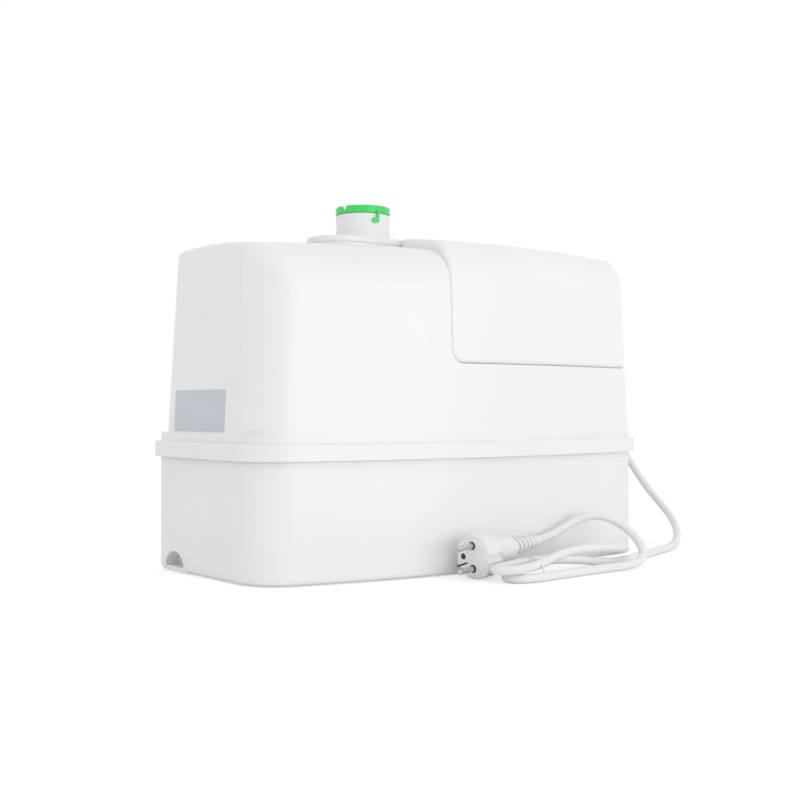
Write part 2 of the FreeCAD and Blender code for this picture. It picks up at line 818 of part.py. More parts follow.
def plate_screws():
    """Countersunk screws that hold the discharge plate to the hood."""
    depth = plate_screw_head - plate_screw_radius
    points = [
        (0, boss_bottom), (plate_screw_radius, boss_bottom), (plate_screw_radius, plate_top - depth),
        (plate_screw_head, plate_top), (0, plate_top),
    ]
    return group([turned(points, x, spigot_y) for x in plate_screw_xs()])


def discharge_cap():
    """Push-in cap for the spigot: hollow plug, flange, notched rim and a hooked pull tab."""
    seat = spigot_top + cap_seat
    floor_top = seat + cap_wall + 0.6
    top = seat + cap_height
    rim = spigot_radius + 0.4
    plug = spigot_bore - run_gap
    points = [
        (0, seat + 0.6), (plug - cap_wall, seat + 0.6), (plug - cap_wall, seat - cap_plug_length),
        (plug - 0.6, seat - cap_plug_length), (plug, seat - cap_plug_length + 1.5), (plug, seat), (rim, seat),
        (rim, top - 0.5), (rim - 0.5, top), (rim - cap_wall, top), (rim - cap_wall, floor_top), (0, floor_top),
    ]
    body = turned(points)
    notch = [Vector(-40, -0.6, floor_top), Vector(-40, 0.6, floor_top), Vector(-40, 3.4, top + 1)]
    notch.append(Vector(-40, -3.4, top + 1))
    wedge = Part.Face(Part.makePolygon(notch + [notch[0]])).extrude(Vector(30, 0, 0))
    wedge.rotate(Vector(0, 0, 0), Vector(0, 0, 1), notch_turn)
    body = body.cut(wedge)
    out = -spigot_radius - tab_gap
    stem = block(-tab_width / 2, tab_width / 2, out - 1.9, out, seat - tab_length, seat + 2)
    root = block(-tab_width / 2, tab_width / 2, out - 1.9, out + 1.2, seat, seat + 2)
    foot = block(-tab_width / 2 - 4, tab_width / 2, out - 1.9, out, seat - tab_length, seat - tab_length + 4)
    tab = fuse_all([stem, root, foot])
    tab.rotate(Vector(0, 0, 0), Vector(0, 0, 1), tab_turn)
    body = fuse_all([body, tab])
    body.translate(Vector(spigot_x, spigot_y, 0))
    return body


def pipe_bend_solid(radius):
    """Discharge pipe's outer or inner form: lying run, quarter bend and riser."""
    centre = Vector(spigot_x + pipe_bend, spigot_y, pipe_z + pipe_bend)
    lying = rod(Vector(centre.x, spigot_y, pipe_z), Vector(1, 0, 0), pipe_start_x - centre.x, radius)
    riser = cylinder(spigot_x, spigot_y, pipe_z + pipe_bend, riser_top, radius)
    disc = Part.Face(Part.Wire(Part.makeCircle(radius, Vector(spigot_x, spigot_y, centre.z), Vector(0, 0, 1))))
    bend = disc.revolve(centre, Vector(0, 1, 0), -90)
    return fuse_all([lying, bend, riser])


def discharge_pipe():
    """Pipe from the pump's outlet, round a bend and up to the check valve."""
    bore = pipe_bend_solid(pipe_bore)
    ends = rod(Vector(pipe_start_x - 1, spigot_y, pipe_z), Vector(1, 0, 0), 3, pipe_bore)
    ends = ends.fuse(cylinder(spigot_x, spigot_y, riser_top - 1, riser_top + 2, pipe_bore))
    return pipe_bend_solid(pipe_radius).cut(bore).cut(ends)


def deck_grommet():
    """Grooved rubber ring that seals the riser in the deck."""
    groove = grommet_radius - 2 - seat_gap / 2
    points = [
        (pipe_radius + seat_gap / 2, deck_bottom - 2), (grommet_radius, deck_bottom - 2),
        (grommet_radius, deck_bottom - seat_gap / 2), (groove, deck_bottom - seat_gap / 2),
        (groove, deck_top + seat_gap / 2), (grommet_radius, deck_top + seat_gap / 2),
        (grommet_radius, deck_top + 2), (pipe_radius + seat_gap / 2, deck_top + 2),
    ]
    return turned(points, spigot_x, spigot_y)


def clamp_band(bore):
    """Worm-drive band, drawn about +Z with its screw housing to +X."""
    band = tube(0, 0, 0, clamp_width, bore + 0.8, bore)
    housing = block(bore + 0.4, bore + 6, -5, 5, 0.8, clamp_width - 0.8)
    worm = rod(Vector(bore + 3.4, -8.5, clamp_width / 2), Vector(0, 1, 0), 4, 3.2)
    return fuse_all([band, housing, worm])


def pipe_clamps():
    """Two bands: on the pump's outlet socket and on the check valve's lower socket."""
    bore = pipe_radius + pipe_socket_wall + seat_gap / 2
    upper = clamp_band(bore)
    upper.translate(Vector(spigot_x, spigot_y, valve_bottom + 1))
    lower = clamp_band(bore)
    lower.rotate(Vector(0, 0, 0), Vector(0, 1, 0), -90)
    lower.translate(Vector(outlet_socket_x + clamp_width + 1, spigot_y, pipe_z))
    return group([upper, lower])


def valve_body():
    """Check valve: pipe socket, seat and chamber, with two lugs inside for the flap's pin."""
    socket = pipe_radius + pipe_socket_wall
    fit = pipe_radius + seat_gap / 2
    inner = valve_radius - valve_wall
    outside = [(0, valve_bottom), (socket, valve_bottom), (socket, riser_top + 2), (valve_radius, valve_seat)]
    outside += [(valve_radius, valve_top), (0, valve_top)]
    bore = [(0, valve_bottom - 1), (fit, valve_bottom - 1), (fit, riser_top + seat_gap / 2)]
    bore += [(pipe_bore, riser_top + seat_gap / 2), (seat_radius, valve_seat), (seat_radius, valve_seat + 4)]
    bore += [(0, valve_seat + 4)]
    chamber = cylinder(spigot_x, spigot_y, valve_seat + seat_thickness, valve_top + 1, inner)
    body = turned(outside, spigot_x, spigot_y).cut(turned(bore, spigot_x, spigot_y)).cut(chamber)
    hinge_x = spigot_x - flap_hinge
    hinge_z = flap_hinge_z()
    for side in (-1, 1):
        y0 = spigot_y + (lug_inner if side > 0 else -lug_inner - lug_width)
        lug = block(spigot_x - inner - 0.5, hinge_x + 3, y0, y0 + lug_width, valve_seat + 1, hinge_z + 3)
        body = body.fuse(lug.common(cylinder(spigot_x, spigot_y, 0, 400, valve_radius - 1)))
    pin = rod(Vector(hinge_x, spigot_y - 20, hinge_z), Vector(0, 1, 0), 40, pin_radius + seat_gap / 4)
    return body.cut(pin.common(cylinder(spigot_x, spigot_y, 0, 400, inner))).removeSplitter()


def flap_hinge_z():
    return valve_seat + seat_thickness + 5


def valve_flap():
    """Round flap that hangs over the valve's seat, with a stiffening rib."""
    z0 = valve_seat + seat_thickness + 0.3
    disc = cylinder(spigot_x, spigot_y, z0, z0 + flap_thickness, flap_radius)
    weight = cylinder(spigot_x, spigot_y, z0 + flap_thickness, z0 + flap_thickness + 2.5, flap_radius - 8)
    half = lug_inner - 0.4
    hinge_x = spigot_x - flap_hinge
    hinge_z = flap_hinge_z()
    arm = block(hinge_x, spigot_x - 6, spigot_y - half, spigot_y + half, z0 + 0.6, z0 + flap_thickness + 1.5)
    knuckle = rod(Vector(hinge_x, spigot_y - half, hinge_z), Vector(0, 1, 0), 2 * half, 2.9)
    hole = rod(Vector(hinge_x, spigot_y - 20, hinge_z), Vector(0, 1, 0), 40, pin_radius + run_gap)
    return fuse_all([disc, weight, arm, knuckle]).cut(hole)


def hinge_pins():
    """Like pins of the two inlet flaps and the check valve's flap."""
    length = 2 * (ear_gap + ear_wall)
    pin = rod(Vector(flap_pin_x, -length / 2, flap_pin_z), Vector(0, 1, 0), length, pin_radius)
    hinge = Vector(spigot_x - flap_hinge, spigot_y - length / 2, flap_hinge_z())
    return group([on_side_inlet(pin), on_back_inlet(pin), rod(hinge, Vector(0, 1, 0), length, pin_radius)])


def back_inlet_plug():
    """Push-in plug that shuts the unused back inlet, with a flange and a grip web."""
    plug = sleeve_bore - run_gap
    reach = inlet_plug_length
    outside = [(0, -reach), (plug - 1, -reach), (plug, -reach + 1.5), (plug, inlet_plug_seat)]
    outside += [(inlet_inner, inlet_plug_seat), (inlet_inner, inlet_plug_seat + cap_wall)]
    outside += [(plug - cap_wall, inlet_plug_seat + cap_wall), (plug - cap_wall, -reach + cap_wall)]
    outside += [(0, -reach + cap_wall)]
    body = turned(outside)
    body.rotate(Vector(0, 0, 0), Vector(0, 1, 0), 90)
    web = block(-reach + 1, inlet_plug_seat + cap_wall, -plug + 1, plug - 1, -1, 1)
    return on_back_inlet(fuse_all([body, web]))


def at_pump(shape):
    """Carry a part drawn about the origin's vertical to the pump's axis."""
    placed = shape.copy()
    placed.translate(Vector(pump_x, pump_y, 0))
    return placed


def strainer():
    """Suction strainer: plate with the suction hole, and a slotted skirt that stands on the tank's floor."""
    floor_top = tank_bottom + tank_wall
    outer = volute_radius - 2
    points = [
        (suction_radius, volute_bottom - strainer_thickness), (outer - 3, volute_bottom - strainer_thickness),
        (outer - 3, floor_top), (outer, floor_top), (outer, volute_bottom), (suction_radius, volute_bottom),
    ]
    body = turned(points)
    slot = block(0, outer + 5, -3.5, 3.5, floor_top - 1, volute_bottom - strainer_thickness - 0.5)
    for i in range(strainer_slots):
        cut = slot.copy()
        cut.rotate(Vector(0, 0, 0), Vector(0, 0, 1), 360.0 * i / strainer_slots)
        body = body.cut(cut)
    return at_pump(body)


def volute():
    """Pump casing, open above, with a side outlet that ends in a pipe socket."""
    top = volute_bottom + volute_height
    y = outlet_offset
    end = outlet_socket_x - pump_x
    shoulder_x = end + outlet_socket_length
    neck = rod(Vector(shoulder_x, y, pipe_z), Vector(1, 0, 0), -shoulder_x, outlet_bore + 3)
    socket = rod(Vector(end, y, pipe_z), Vector(1, 0, 0), outlet_socket_length + 3, pipe_radius + pipe_socket_wall)
    casing = cylinder(0, 0, volute_bottom, top, volute_radius)
    below = cylinder(0, 0, -20, volute_bottom, volute_radius + 1)
    above = cylinder(0, 0, top, top + 40, volute_radius + 1)
    body = fuse_all([casing, neck, socket]).cut(below).cut(above)
    cuts = [cylinder(0, 0, volute_bottom + volute_wall, top + 1, chamber_radius)]
    cuts.append(cylinder(0, 0, 0, top, suction_radius))
    cuts.append(rod(Vector(end - 1, y, pipe_z), Vector(1, 0, 0), -end, outlet_bore))
    cuts.append(
        rod(Vector(end - 1, y, pipe_z), Vector(1, 0, 0), outlet_socket_length + 1, pipe_radius + seat_gap / 2)
    )
    cuts += [cylinder(x, y, top - 12, top + 1, 1.7) for x, y in ring_points(6, volute_radius - 4, 0, 0, 15)]
    for cut in cuts:
        body = body.cut(cut)
    return at_pump(body)


def volute_screws():
    """Screws that hold the column's flange to the casing."""
    seat = volute_bottom + volute_height + column_base
    places = ring_points(6, volute_radius - 4, pump_x, pump_y, 15)
    return group([screw(x, y, seat, 13.0, 1.65, 3.2, 2.0) for x, y in places])


def impeller():
    """Half-open impeller: hub, disc and backward-curved vanes below it."""
    z0 = impeller_bottom
    z1 = z0 + vane_height
    hub = cylinder(0, 0, z0, z1 + impeller_disc + 5, 8)
    disc = cylinder(0, 0, z1, z1 + impeller_disc, impeller_radius)
    vanes = []
    for i in range(vane_count):
        bow = impeller_radius * 0.62
        vane = tube(bow * 0.9, 0, z0, z1 + 0.5, bow, bow - vane_wall)
        vane = vane.common(block(-60, 60, -60, 0, z0, z1 + 0.5))
        vane = vane.common(cylinder(0, 0, z0, z1 + 0.5, impeller_radius))
        vane.rotate(Vector(0, 0, 0), Vector(0, 0, 1), 360.0 * i / vane_count)
        vanes.append(vane)
    body = fuse_all([hub, disc] + vanes)
    bore = cylinder(0, 0, z0 + 5, z1 + 20, shaft_radius + 0.02)
    return at_pump(body.cut(bore))


def pump_shaft():
    return cylinder(pump_x, pump_y, impeller_bottom + 5.1, shaft_top, shaft_radius)


def mount_places():
    turns = [math.radians(a) for a in mount_angles]
    return [(pump_x + mount_circle * math.cos(t), pump_y + mount_circle * math.sin(t)) for t in turns]


def ears(z0, z1, radius, inner):
    """Arms and eyes round the mount circle, on the pump's axis."""
    shapes = []
    for x, y in mount_places():
        shapes.append(cylinder(x, y, z0, z1, radius))
        arm = block(inner, mount_circle, -radius * 0.8, radius * 0.8, z0, z1)
        turn = math.degrees(math.atan2(y - pump_y, x - pump_x))
        arm.rotate(Vector(0, 0, 0), Vector(0, 0, 1), turn)
        shapes.append(at_pump(arm))
    return shapes


def pump_column():
    """Column between the casing and the deck, with an eared flange under the deck and a seal seat."""
    base = volute_bottom + volute_height
    flange_flat = volute_radius - 8
    points = [
        (10, base), (volute_radius, base), (volute_radius, base + column_base), (flange_flat, base + column_base),
        (column_radius, base + column_base + 3),
        (column_radius, deck_bottom - 4), (column_flange, deck_bottom - 4), (column_flange, deck_bottom),
        (column_radius, deck_bottom), (column_radius, deck_top), (column_bore, deck_top), (column_bore, base + 9),
        (10, base + 9),
    ]
    body = fuse_all([at_pump(turned(points))] + ears(deck_bottom - 4, deck_bottom, 6, 20))
    body = body.cut(cylinder(pump_x, pump_y, base + 9, deck_top + 1, column_bore))
    for x, y in mount_places():
        body = body.cut(cylinder(x, y, 0, 200, mount_screw_radius + seat_gap / 2))
    for x, y in ring_points(6, volute_radius - 4, pump_x, pump_y, 15):
        body = body.cut(cylinder(x, y, base - 1, base + column_base + 1, 1.8))
    return body


def shaft_seal():
    """Lip seal round the shaft above the casing."""
    base = volute_bottom + volute_height
    points = [
        (shaft_radius + run_gap, base + 2), (10 - 0.02, base + 2), (10 - 0.02, base + 8), (shaft_radius + 2, base + 8),
        (shaft_radius + 2, base + 4.5), (shaft_radius + run_gap, base + 4.5),
    ]
    return at_pump(turned(points))


def motor_mounts():
    """Rubber buffers between the deck and the motor's lower shield."""
    return group([
        tube(x, y, deck_top, deck_top + mount_height, 7, mount_screw_radius + seat_gap / 2) for x, y in mount_places()
    ])


def mount_screws():
    """Screws through the lower shield, the buffers and the deck into the column's flange."""
    seat = deck_top + mount_height + 6
    return group([screw(x, y, seat, seat - deck_bottom + 5, mount_screw_radius, 4.4, 3) for x, y in mount_places()])


def lower_shield():
    """Motor's lower end shield with mount ears, a spigot for the can and a bearing seat."""
    z0 = deck_top + mount_height
    points = [
        (shaft_radius + 1.5, z0), (can_radius + 2, z0), (can_radius + 2, z0 + shield_thickness),
        (can_radius - can_wall - run_gap, z0 + shield_thickness), (can_radius - can_wall - run_gap, z0 + 15),
        (can_radius - 7, z0 + 15), (can_radius - 10, z0 + shield_thickness), (bearing_radius, z0 + shield_thickness),
        (bearing_radius, z0 + 3), (shaft_radius + 1.5, z0 + 3),
    ]
    body = fuse_all([at_pump(turned(points))] + ears(z0, z0 + 6, 7, 45))
    for x, y in mount_places():
        body = body.cut(cylinder(x, y, 0, 200, mount_screw_radius + seat_gap / 2))
    return body


def can_base():
    return deck_top + mount_height + shield_thickness


def upper_shield():
    """Motor's upper end shield with the upper bearing's seat and a low dome."""
    z0 = can_base() + can_height
    inner = can_radius - can_wall - run_gap
    points = [
        (bearing_radius, z0), (can_radius - 10, z0), (can_radius - 7, z0 - 3), (inner, z0 - 3), (inner, z0),
        (can_radius + 2, z0), (can_radius + 2, z0 + 5), (can_radius - 8, z0 + 10), (bearing_radius + 5, z0 + 12),
        (0, z0 + 12), (0, z0 + 9), (bearing_radius, z0 + 9),
    ]
    return at_pump(turned(points))


def motor_can():
    """Drawn steel can round the stator."""
    z0 = can_base()
    return tube(pump_x, pump_y, z0, z0 + can_height, can_radius, can_radius - can_wall)


def motor_bearings():
    """Two shielded ball bearings."""
    inner = shaft_radius + run_gap
    bearings = []
    for z0 in (can_base() - bearing_width, can_base() + can_height):
        z1 = z0 + bearing_width
        outer = bearing_radius - 0.02
        points = [
            (inner, z0), (inner + 3, z0), (inner + 3, z0 + 1), (outer - 3, z0 + 1), (outer - 3, z0), (outer, z0),
            (outer, z1), (outer - 3, z1), (outer - 3, z1 - 1), (inner + 3, z1 - 1), (inner + 3, z1), (inner, z1),
        ]
        bearings.append(at_pump(turned(points)))
    return group(bearings)


def stack_base():
    return can_base() + 16


def stator_stack():
    return tube(
        pump_x, pump_y, stack_base(), stack_base() + stack_height, can_radius - can_wall - run_gap,
        rotor_radius + air_gap
    )


def stator_windings():
    """End turns of the winding, above and below the stack."""
    rings = []
    inner = rotor_radius + 4
    outer = can_radius - can_wall - 4
    for z0, z1 in ((stack_base(), stack_base() - 11), (stack_base() + stack_height, stack_base() + stack_height + 11)):
        bevel = 3 if z1 > z0 else -3
        points = [(inner, z0), (outer, z0), (outer, z1 - bevel), (outer - 3, z1), (inner + 3, z1), (inner, z1 - bevel)]
        rings.append(at_pump(turned(points)))
    return group(rings)


def rotor_core():
    """Rotor stack with its end rings, pressed on the shaft."""
    low = stack_base()
    high = low + stack_height
    inner = shaft_radius + 0.02
    points = [
        (inner, low), (12, low), (12, low - 4), (24, low - 4), (24, low), (rotor_radius, low), (rotor_radius, high),
        (24, high), (24, high + 4), (12, high + 4), (12, high), (inner, high),
    ]
    return at_pump(turned(points))


def capacitor():
    """Run capacitor with a beaded can and two terminals."""
    z0 = deck_top + 2
    points = [
        (0, z0), (capacitor_radius - 1, z0), (capacitor_radius, z0 + 1), (capacitor_radius, z0 + 68),
        (capacitor_radius - 1.5, z0 + 69), (capacitor_radius - 1.5, z0 + 71), (capacitor_radius, z0 + 72),
        (capacitor_radius, z0 + 75), (capacitor_radius - 1, z0 + 76), (0, z0 + 76),
    ]
    body = turned(points, capacitor_x, capacitor_y)
    for y in (-5, 5):
        y0 = capacitor_y + y
        body = body.fuse(block(capacitor_x - 3, capacitor_x + 3, y0 - 0.4, y0 + 0.4, z0 + 76, z0 + 84))
    return body


def capacitor_clip():
    """Clip ring that holds the capacitor to the deck."""
    inner = capacitor_radius + seat_gap / 2
    points = [
        (0, deck_top), (inner + 5, deck_top), (inner + 5, deck_top + 2), (inner + 2, deck_top + 2.4),
        (inner + 2, deck_top + 14), (inner, deck_top + 14), (inner, deck_top + 2 - run_gap), (0, deck_top + 2 - run_gap),
    ]
    body = turned(points, capacitor_x, capacitor_y)
    slot = block(capacitor_x - 1.5, capacitor_x + 1.5, capacitor_y, capacitor_y + 30, deck_top + 2.5, deck_top + 20)
    return body.cut(slot)


def terminal_box():
    """Open box for the wire joints, with an entry hole that faces the gland."""
    x0, x1, y0, y1 = terminal_plan
    body = block(x0, x1, y0, y1, deck_top, terminal_top)
    body = body.cut(block(x0 + 2, x1 - 2, y0 + 2, y1 - 2, deck_top + 2, terminal_top + 1))
    return body.cut(rod(Vector(x1 - 5, gland_y, gland_z), Vector(1, 0, 0), 10, cord_radius + 0.4))


def terminal_lid():
    """Lid with a locating step."""
    x0, x1, y0, y1 = terminal_plan
    body = block(x0, x1, y0, y1, terminal_top, terminal_top + 2.5)
    step = block(x0 + 2.1, x1 - 2.1, y0 + 2.1, y1 - 2.1, terminal_top - 2, terminal_top)
    step = step.cut(block(x0 + 4, x1 - 4, y0 + 4, y1 - 4, terminal_top - 3, terminal_top))
    return fuse_all([body, step])


def dip_tube():
    """Tube that carries the trapped air from the tank to the pressure switch."""
    points = [
        (dip_radius - dip_wall, dip_bottom), (dip_radius, dip_bottom), (dip_radius, deck_top),
        (dip_radius + 7, deck_top), (dip_radius + 7, deck_top + 2), (dip_radius - dip_wall, deck_top + 2),
    ]
    return turned(points, switch_x, switch_y)


def switch_dish_lower():
    """Lower half of the pressure switch's case."""
    z0 = deck_top + 2
    z1 = z0 + dish_wall + dish_depth - 3
    points = [
        (dip_radius - dip_wall, z0), (dip_radius + 7, z0), (dish_radius, z1 - 3), (dish_radius, z1),
        (dish_radius - 6, z1), (dip_radius + 4, z0 + 3), (dip_radius - dip_wall, z0 + 3),
    ]
    return turned(points, switch_x, switch_y)


def membrane_bottom():
    return deck_top + 2 + dish_wall + dish_depth - 3


def membrane():
    """Rubber membrane clamped between the two halves, with a shallow roll."""
    z0 = membrane_bottom()
    z1 = z0 + membrane_wall
    r = dish_radius - 10
    points = [(0, z0), (r - 6, z0), (r - 3, z0 - 1.5), (r, z0), (dish_radius - 1, z0)]
    points += [(dish_radius - 1, z1), (r, z1), (r - 3, z1 - 1.5), (r - 6, z1), (0, z1)]
    return turned(points, switch_x, switch_y)


def switch_dish_upper():
    """Upper half of the case, with the plunger's guide and a bracket for the switch."""
    z0 = membrane_bottom() + membrane_wall
    z1 = z0 + 9
    points = [
        (dish_radius - 6, z0), (dish_radius, z0), (dish_radius, z0 + 3), (dish_radius - 8, z1),
        (plunger_radius + run_gap, z1), (plunger_radius + run_gap, z1 - 3), (dish_radius - 12, z1 - 3),
    ]
    body = turned(points, switch_x, switch_y)
    foot = block(switch_x - 18, switch_x + 10, switch_y + 5, switch_y + 13, z1 - 1, z1 + 1)
    wall = block(switch_x - 20, switch_x + 10, bracket_y, bracket_y + 2.5, z1 - 1, switch_bottom + 16)
    bracket = fuse_all([foot, wall])
    bracket = bracket.cut(cylinder(switch_x, switch_y, z1, z1 + 3, plunger_radius + 2))
    return fuse_all([body, bracket])


def plunger():
    """Plunger on the membrane, guided by the case, with a small tip for the lever."""
    z0 = membrane_bottom() + membrane_wall + 0.3
    points = [
        (0, z0), (14, z0), (14, z0 + 2), (plunger_radius, z0 + 2), (plunger_radius, z0 + 13.7), (1.5, z0 + 13.7),
        (1.5, z0 + 16.7), (0, z0 + 16.7),
    ]
    return turned(points, switch_x, switch_y)


def lever_pivot_z():
    return membrane_bottom() + membrane_wall + 19


def switch_body():
    """Snap switch on the bracket, with two lugs, a stub axle for the lever, its button and two terminals."""
    y0 = switch_y - 6
    z0 = switch_bottom
    pivot_x = switch_x - lever_arm
    pivot_z = lever_pivot_z()
    case = block(switch_x - 20, switch_x + 8, y0, bracket_y, z0, z0 + 16)
    lugs = [block(pivot_x - 3, pivot_x + 3, y, y + 2, pivot_z - 2.5, z0 + 1) for y in (y0, bracket_y - 3)]
    axle = rod(Vector(pivot_x, y0, pivot_z), Vector(0, 1, 0), bracket_y - 1 - y0, 1.0)
    button = block(switch_x + 1, switch_x + 4, switch_y - 1.5, switch_y + 1.5, z0 - 1.8, z0 + 1)
    blades = [block(x, x + 0.8, switch_y - 2, switch_y + 3, z0 + 15, z0 + 22) for x in (switch_x - 16, switch_x + 2)]
    return fuse_all([case] + lugs + [axle, button] + blades)


def lever():
    """Sprung lever between the plunger's tip and the switch's button."""
    pivot_x = switch_x - lever_arm
    pivot_z = lever_pivot_z()
    y0 = switch_y - 3.6
    y1 = bracket_y - 3.4
    low = membrane_bottom() + membrane_wall + 17.3
    leaf = block(pivot_x - 2, switch_x + 12, y0 + 1, y0 + 6, low, low + 0.8)
    knuckle = rod(Vector(pivot_x, y0, pivot_z), Vector(0, 1, 0), y1 - y0, 2.2)
    hole = rod(Vector(pivot_x, y0 - 5, pivot_z), Vector(0, 1, 0), 30, 1.0 + run_gap)
    return fuse_all([leaf, knuckle]).cut(hole)


def vent_housing():
    """Housing of the vent filter, open above, over its hole in the deck."""
    points = [
        (vent_radius - 6, deck_top), (vent_radius, deck_top), (vent_radius, deck_top + 30),
        (vent_radius - 2.4, deck_top + 30), (vent_radius - 2.4, deck_top + 3), (vent_radius - 6, deck_top + 3),
    ]
    return turned(points, vent_x, vent_y)


def vent_cartridge():
    """Charcoal cartridge that drops into the housing."""
    r = vent_radius - 2.4 - seat_gap
    z0 = deck_top + 3
    points = [(0, z0), (r, z0), (r, z0 + 24), (r - 3, z0 + 26), (r - 6, z0 + 24), (0, z0 + 24)]
    return turned(points, vent_x, vent_y)


def turned_along_x(points, y, z):
    """Solid of revolution about the line along X through (y, z), from (x, radius) points."""
    loop = [Vector(x, y, z + r) for x, r in points]
    face = Part.Face(Part.makePolygon(loop + [loop[0]]))
    return face.revolve(Vector(0, y, z), Vector(1, 0, 0), 360)


def hexagon_along_x(x0, x1, flats):
    radius = flats / math.sqrt(3)
    turns = [math.radians(60 * i) for i in range(6)]
    loop = [Vector(x0, gland_y + radius * math.cos(t), gland_z + radius * math.sin(t)) for t in turns]
    return Part.Face(Part.makePolygon(loop + [loop[0]])).extrude(Vector(x1 - x0, 0, 0))


def gland_body():
    """Cable gland: hexagon outside the end panel and a threaded neck through it."""
    face = panel_x(gland_z - gland_flats * 0.58)
    neck = rod(Vector(gland_inner_x, gland_y, gland_z), Vector(1, 0, 0), face + 2 - gland_inner_x, gland_thread)
    hexagon = hexagon_along_x(face, face + 5, gland_flats)
    collar = rod(Vector(face + 4, gland_y, gland_z), Vector(1, 0, 0), 5, gland_thread)
    bore = rod(Vector(0, gland_y, gland_z), Vector(1, 0, 0), 300, cord_radius + 0.05)
    return fuse_all([neck, hexagon, collar]).cut(bore)


def gland_nut():
    """Lock nut of the gland, inside the panel."""
    x1 = panel_x(gland_z + 10, hood_wall) - 0.2
    nut = hexagon_along_x(x1 - 5, x1, gland_flats)
    return nut.cut(rod(Vector(0, gland_y, gland_z), Vector(1, 0, 0), 300, gland_thread + seat_gap / 4))


def gland_boot():
    """Gland's clamping dome with a tapered boot round the lead."""
    x0 = panel_x(gland_z - gland_flats * 0.58) + 5
    inner = gland_thread + seat_gap / 4
    bore = cord_radius + 0.05
    points = [
        (x0 + 0.2, inner), (x0 + 0.2, inner + 2.6), (x0 + 7, inner + 2.6), (x0 + 9.5, 7.5), (gland_tip, 5.0),
        (gland_tip, bore), (x0 + 4.2, bore), (x0 + 4.2, inner),
    ]
    return turned_along_x(points, gland_y, gland_z)


def lead_tail():
    """Straight stretch of the lead through the gland and into the terminal box."""
    x0 = terminal_plan[1] - 8
    return rod(Vector(x0, gland_y, gland_z), Vector(1, 0, 0), gland_tip - x0, cord_radius)


def rounded_route(points):
    """Edges of straight runs joined by tangent arcs, their radii and the total length."""
    edges = []
    radii = []
    length = 0.0
    start = points[0]
    for before, bend, after in zip(points, points[1:], points[2:]):
        back = (before - bend).normalize()
        ahead = (after - bend).normalize()
        half = (math.pi - back.getAngle(ahead)) / 2
        setback = 0.45 * min((before - bend).Length, (after - bend).Length)
        radius = setback / math.tan(half)
        first = bend + back * setback
        last = bend + ahead * setback
        centre = bend + (back + ahead).normalize() * (radius / math.cos(half))
        middle = centre + (bend - centre).normalize() * radius
        edges.append(Part.LineSegment(start, first).toShape())
        edges.append(Part.Arc(first, middle, last).toShape())
        length += (first - start).Length + radius * 2 * half
        radii.append(radius)
        start = last
    edges.append(Part.LineSegment(start, points[-1]).toShape())
    return edges, radii, length + (points[-1] - start).Length


def cord_along(points, radius):
    edges, radii, length = rounded_route(points)
    circle = Part.Wire(Part.makeCircle(radius, points[0], (points[1] - points[0]).normalize()))
    solid = Part.Wire(edges).makePipeShell([circle], True, True)
    ratio = solid.Volume / (math.pi * radius * radius * length)
    print("lead radii", [round(r, 1) for r in radii], "length", round(length, 1), "volume ratio", round(ratio, 4))
    return solid


def lead():
    """Mains lead from the gland's boot, out and down to the floor, then round to the hank."""
    return cord_along([Vector(x, y, z) for x, y, z in lead_route], cord_radius)


def plug_point(along, across=0.0, up=0.0):
    """Place in the room of a point given along the plug's axis from its face."""
    tilt = math.radians(plug_tilt)
    turn = math.radians(plug_turn)
    x = along * math.cos(tilt) - up * math.sin(tilt)
    z = along * math.sin(tilt) + up * math.cos(tilt)
    return Vector(
        plug_face[0] + x * math.cos(turn) - across * math.sin(turn),
        plug_face[1] + x * math.sin(turn) + across * math.cos(turn),
        plug_face[2] + z,
    )


def at_plug(shape):
    """Carry a part drawn along +X from the plug's face to its place on the floor."""
    placed = shape.copy()
    placed.rotate(Vector(0, 0, 0), Vector(0, 1, 0), -plug_tilt)
    placed.rotate(Vector(0, 0, 0), Vector(0, 0, 1), plug_turn)
    placed.translate(Vector(plug_face[0], plug_face[1], plug_face[2]))
    return placed


def plug_body():
    """Round mains plug with a waisted grip, a ribbed strain relief and side grooves."""
    points = [
        (0, 0), (0, plug_radius - 1.5), (1.5, plug_radius), (16, plug_radius), (21, plug_radius - 3),
        (25, 12.5), (46, 11), (50, 7), (plug_length, 5), (plug_length, 0),
    ]
    body = turned_along_x(points, 0, 0)
    for side in (-1, 1):
        y0 = side * (plug_radius - 2.2)
        groove = block(-1, 17, min(y0, y0 + side * 6), max(y0, y0 + side * 6), -3.2, 3.2)
        body = body.cut(groove)
    body = body.cut(rod(Vector(-1, 0, 0), Vector(1, 0, 0), 15, 2.4))
    for i in range(5):
        x = 54 + 6.0 * i
        body = body.cut(lying_ring(x, x + 2.4, 9.0, 4.6))
    for z in (-pin_pitch / 2, pin_pitch / 2):
        body = body.cut(rod(Vector(-1, 0, z), Vector(1, 0, 0), 9, plug_pin_radius))
    return at_plug(body)


def lying_ring(x0, x1, outer, inner):
    ring = rod(Vector(x0, 0, 0), Vector(1, 0, 0), x1 - x0, outer)
    return ring.cut(rod(Vector(x0 - 1, 0, 0), Vector(1, 0, 0), x1 - x0 + 2, inner))


def plug_pins():
    """Two round contact pins, one above the other as the plug lies."""
    pins = []
    for z in (-pin_pitch / 2, pin_pitch / 2):
        points = [(8, 0), (8, plug_pin_radius), (-17.5, plug_pin_radius), (-19, plug_pin_radius - 1.2), (-19, 0)]
        pins.append(at_plug(turned_along_x(points, 0, z)))
    return group(pins)


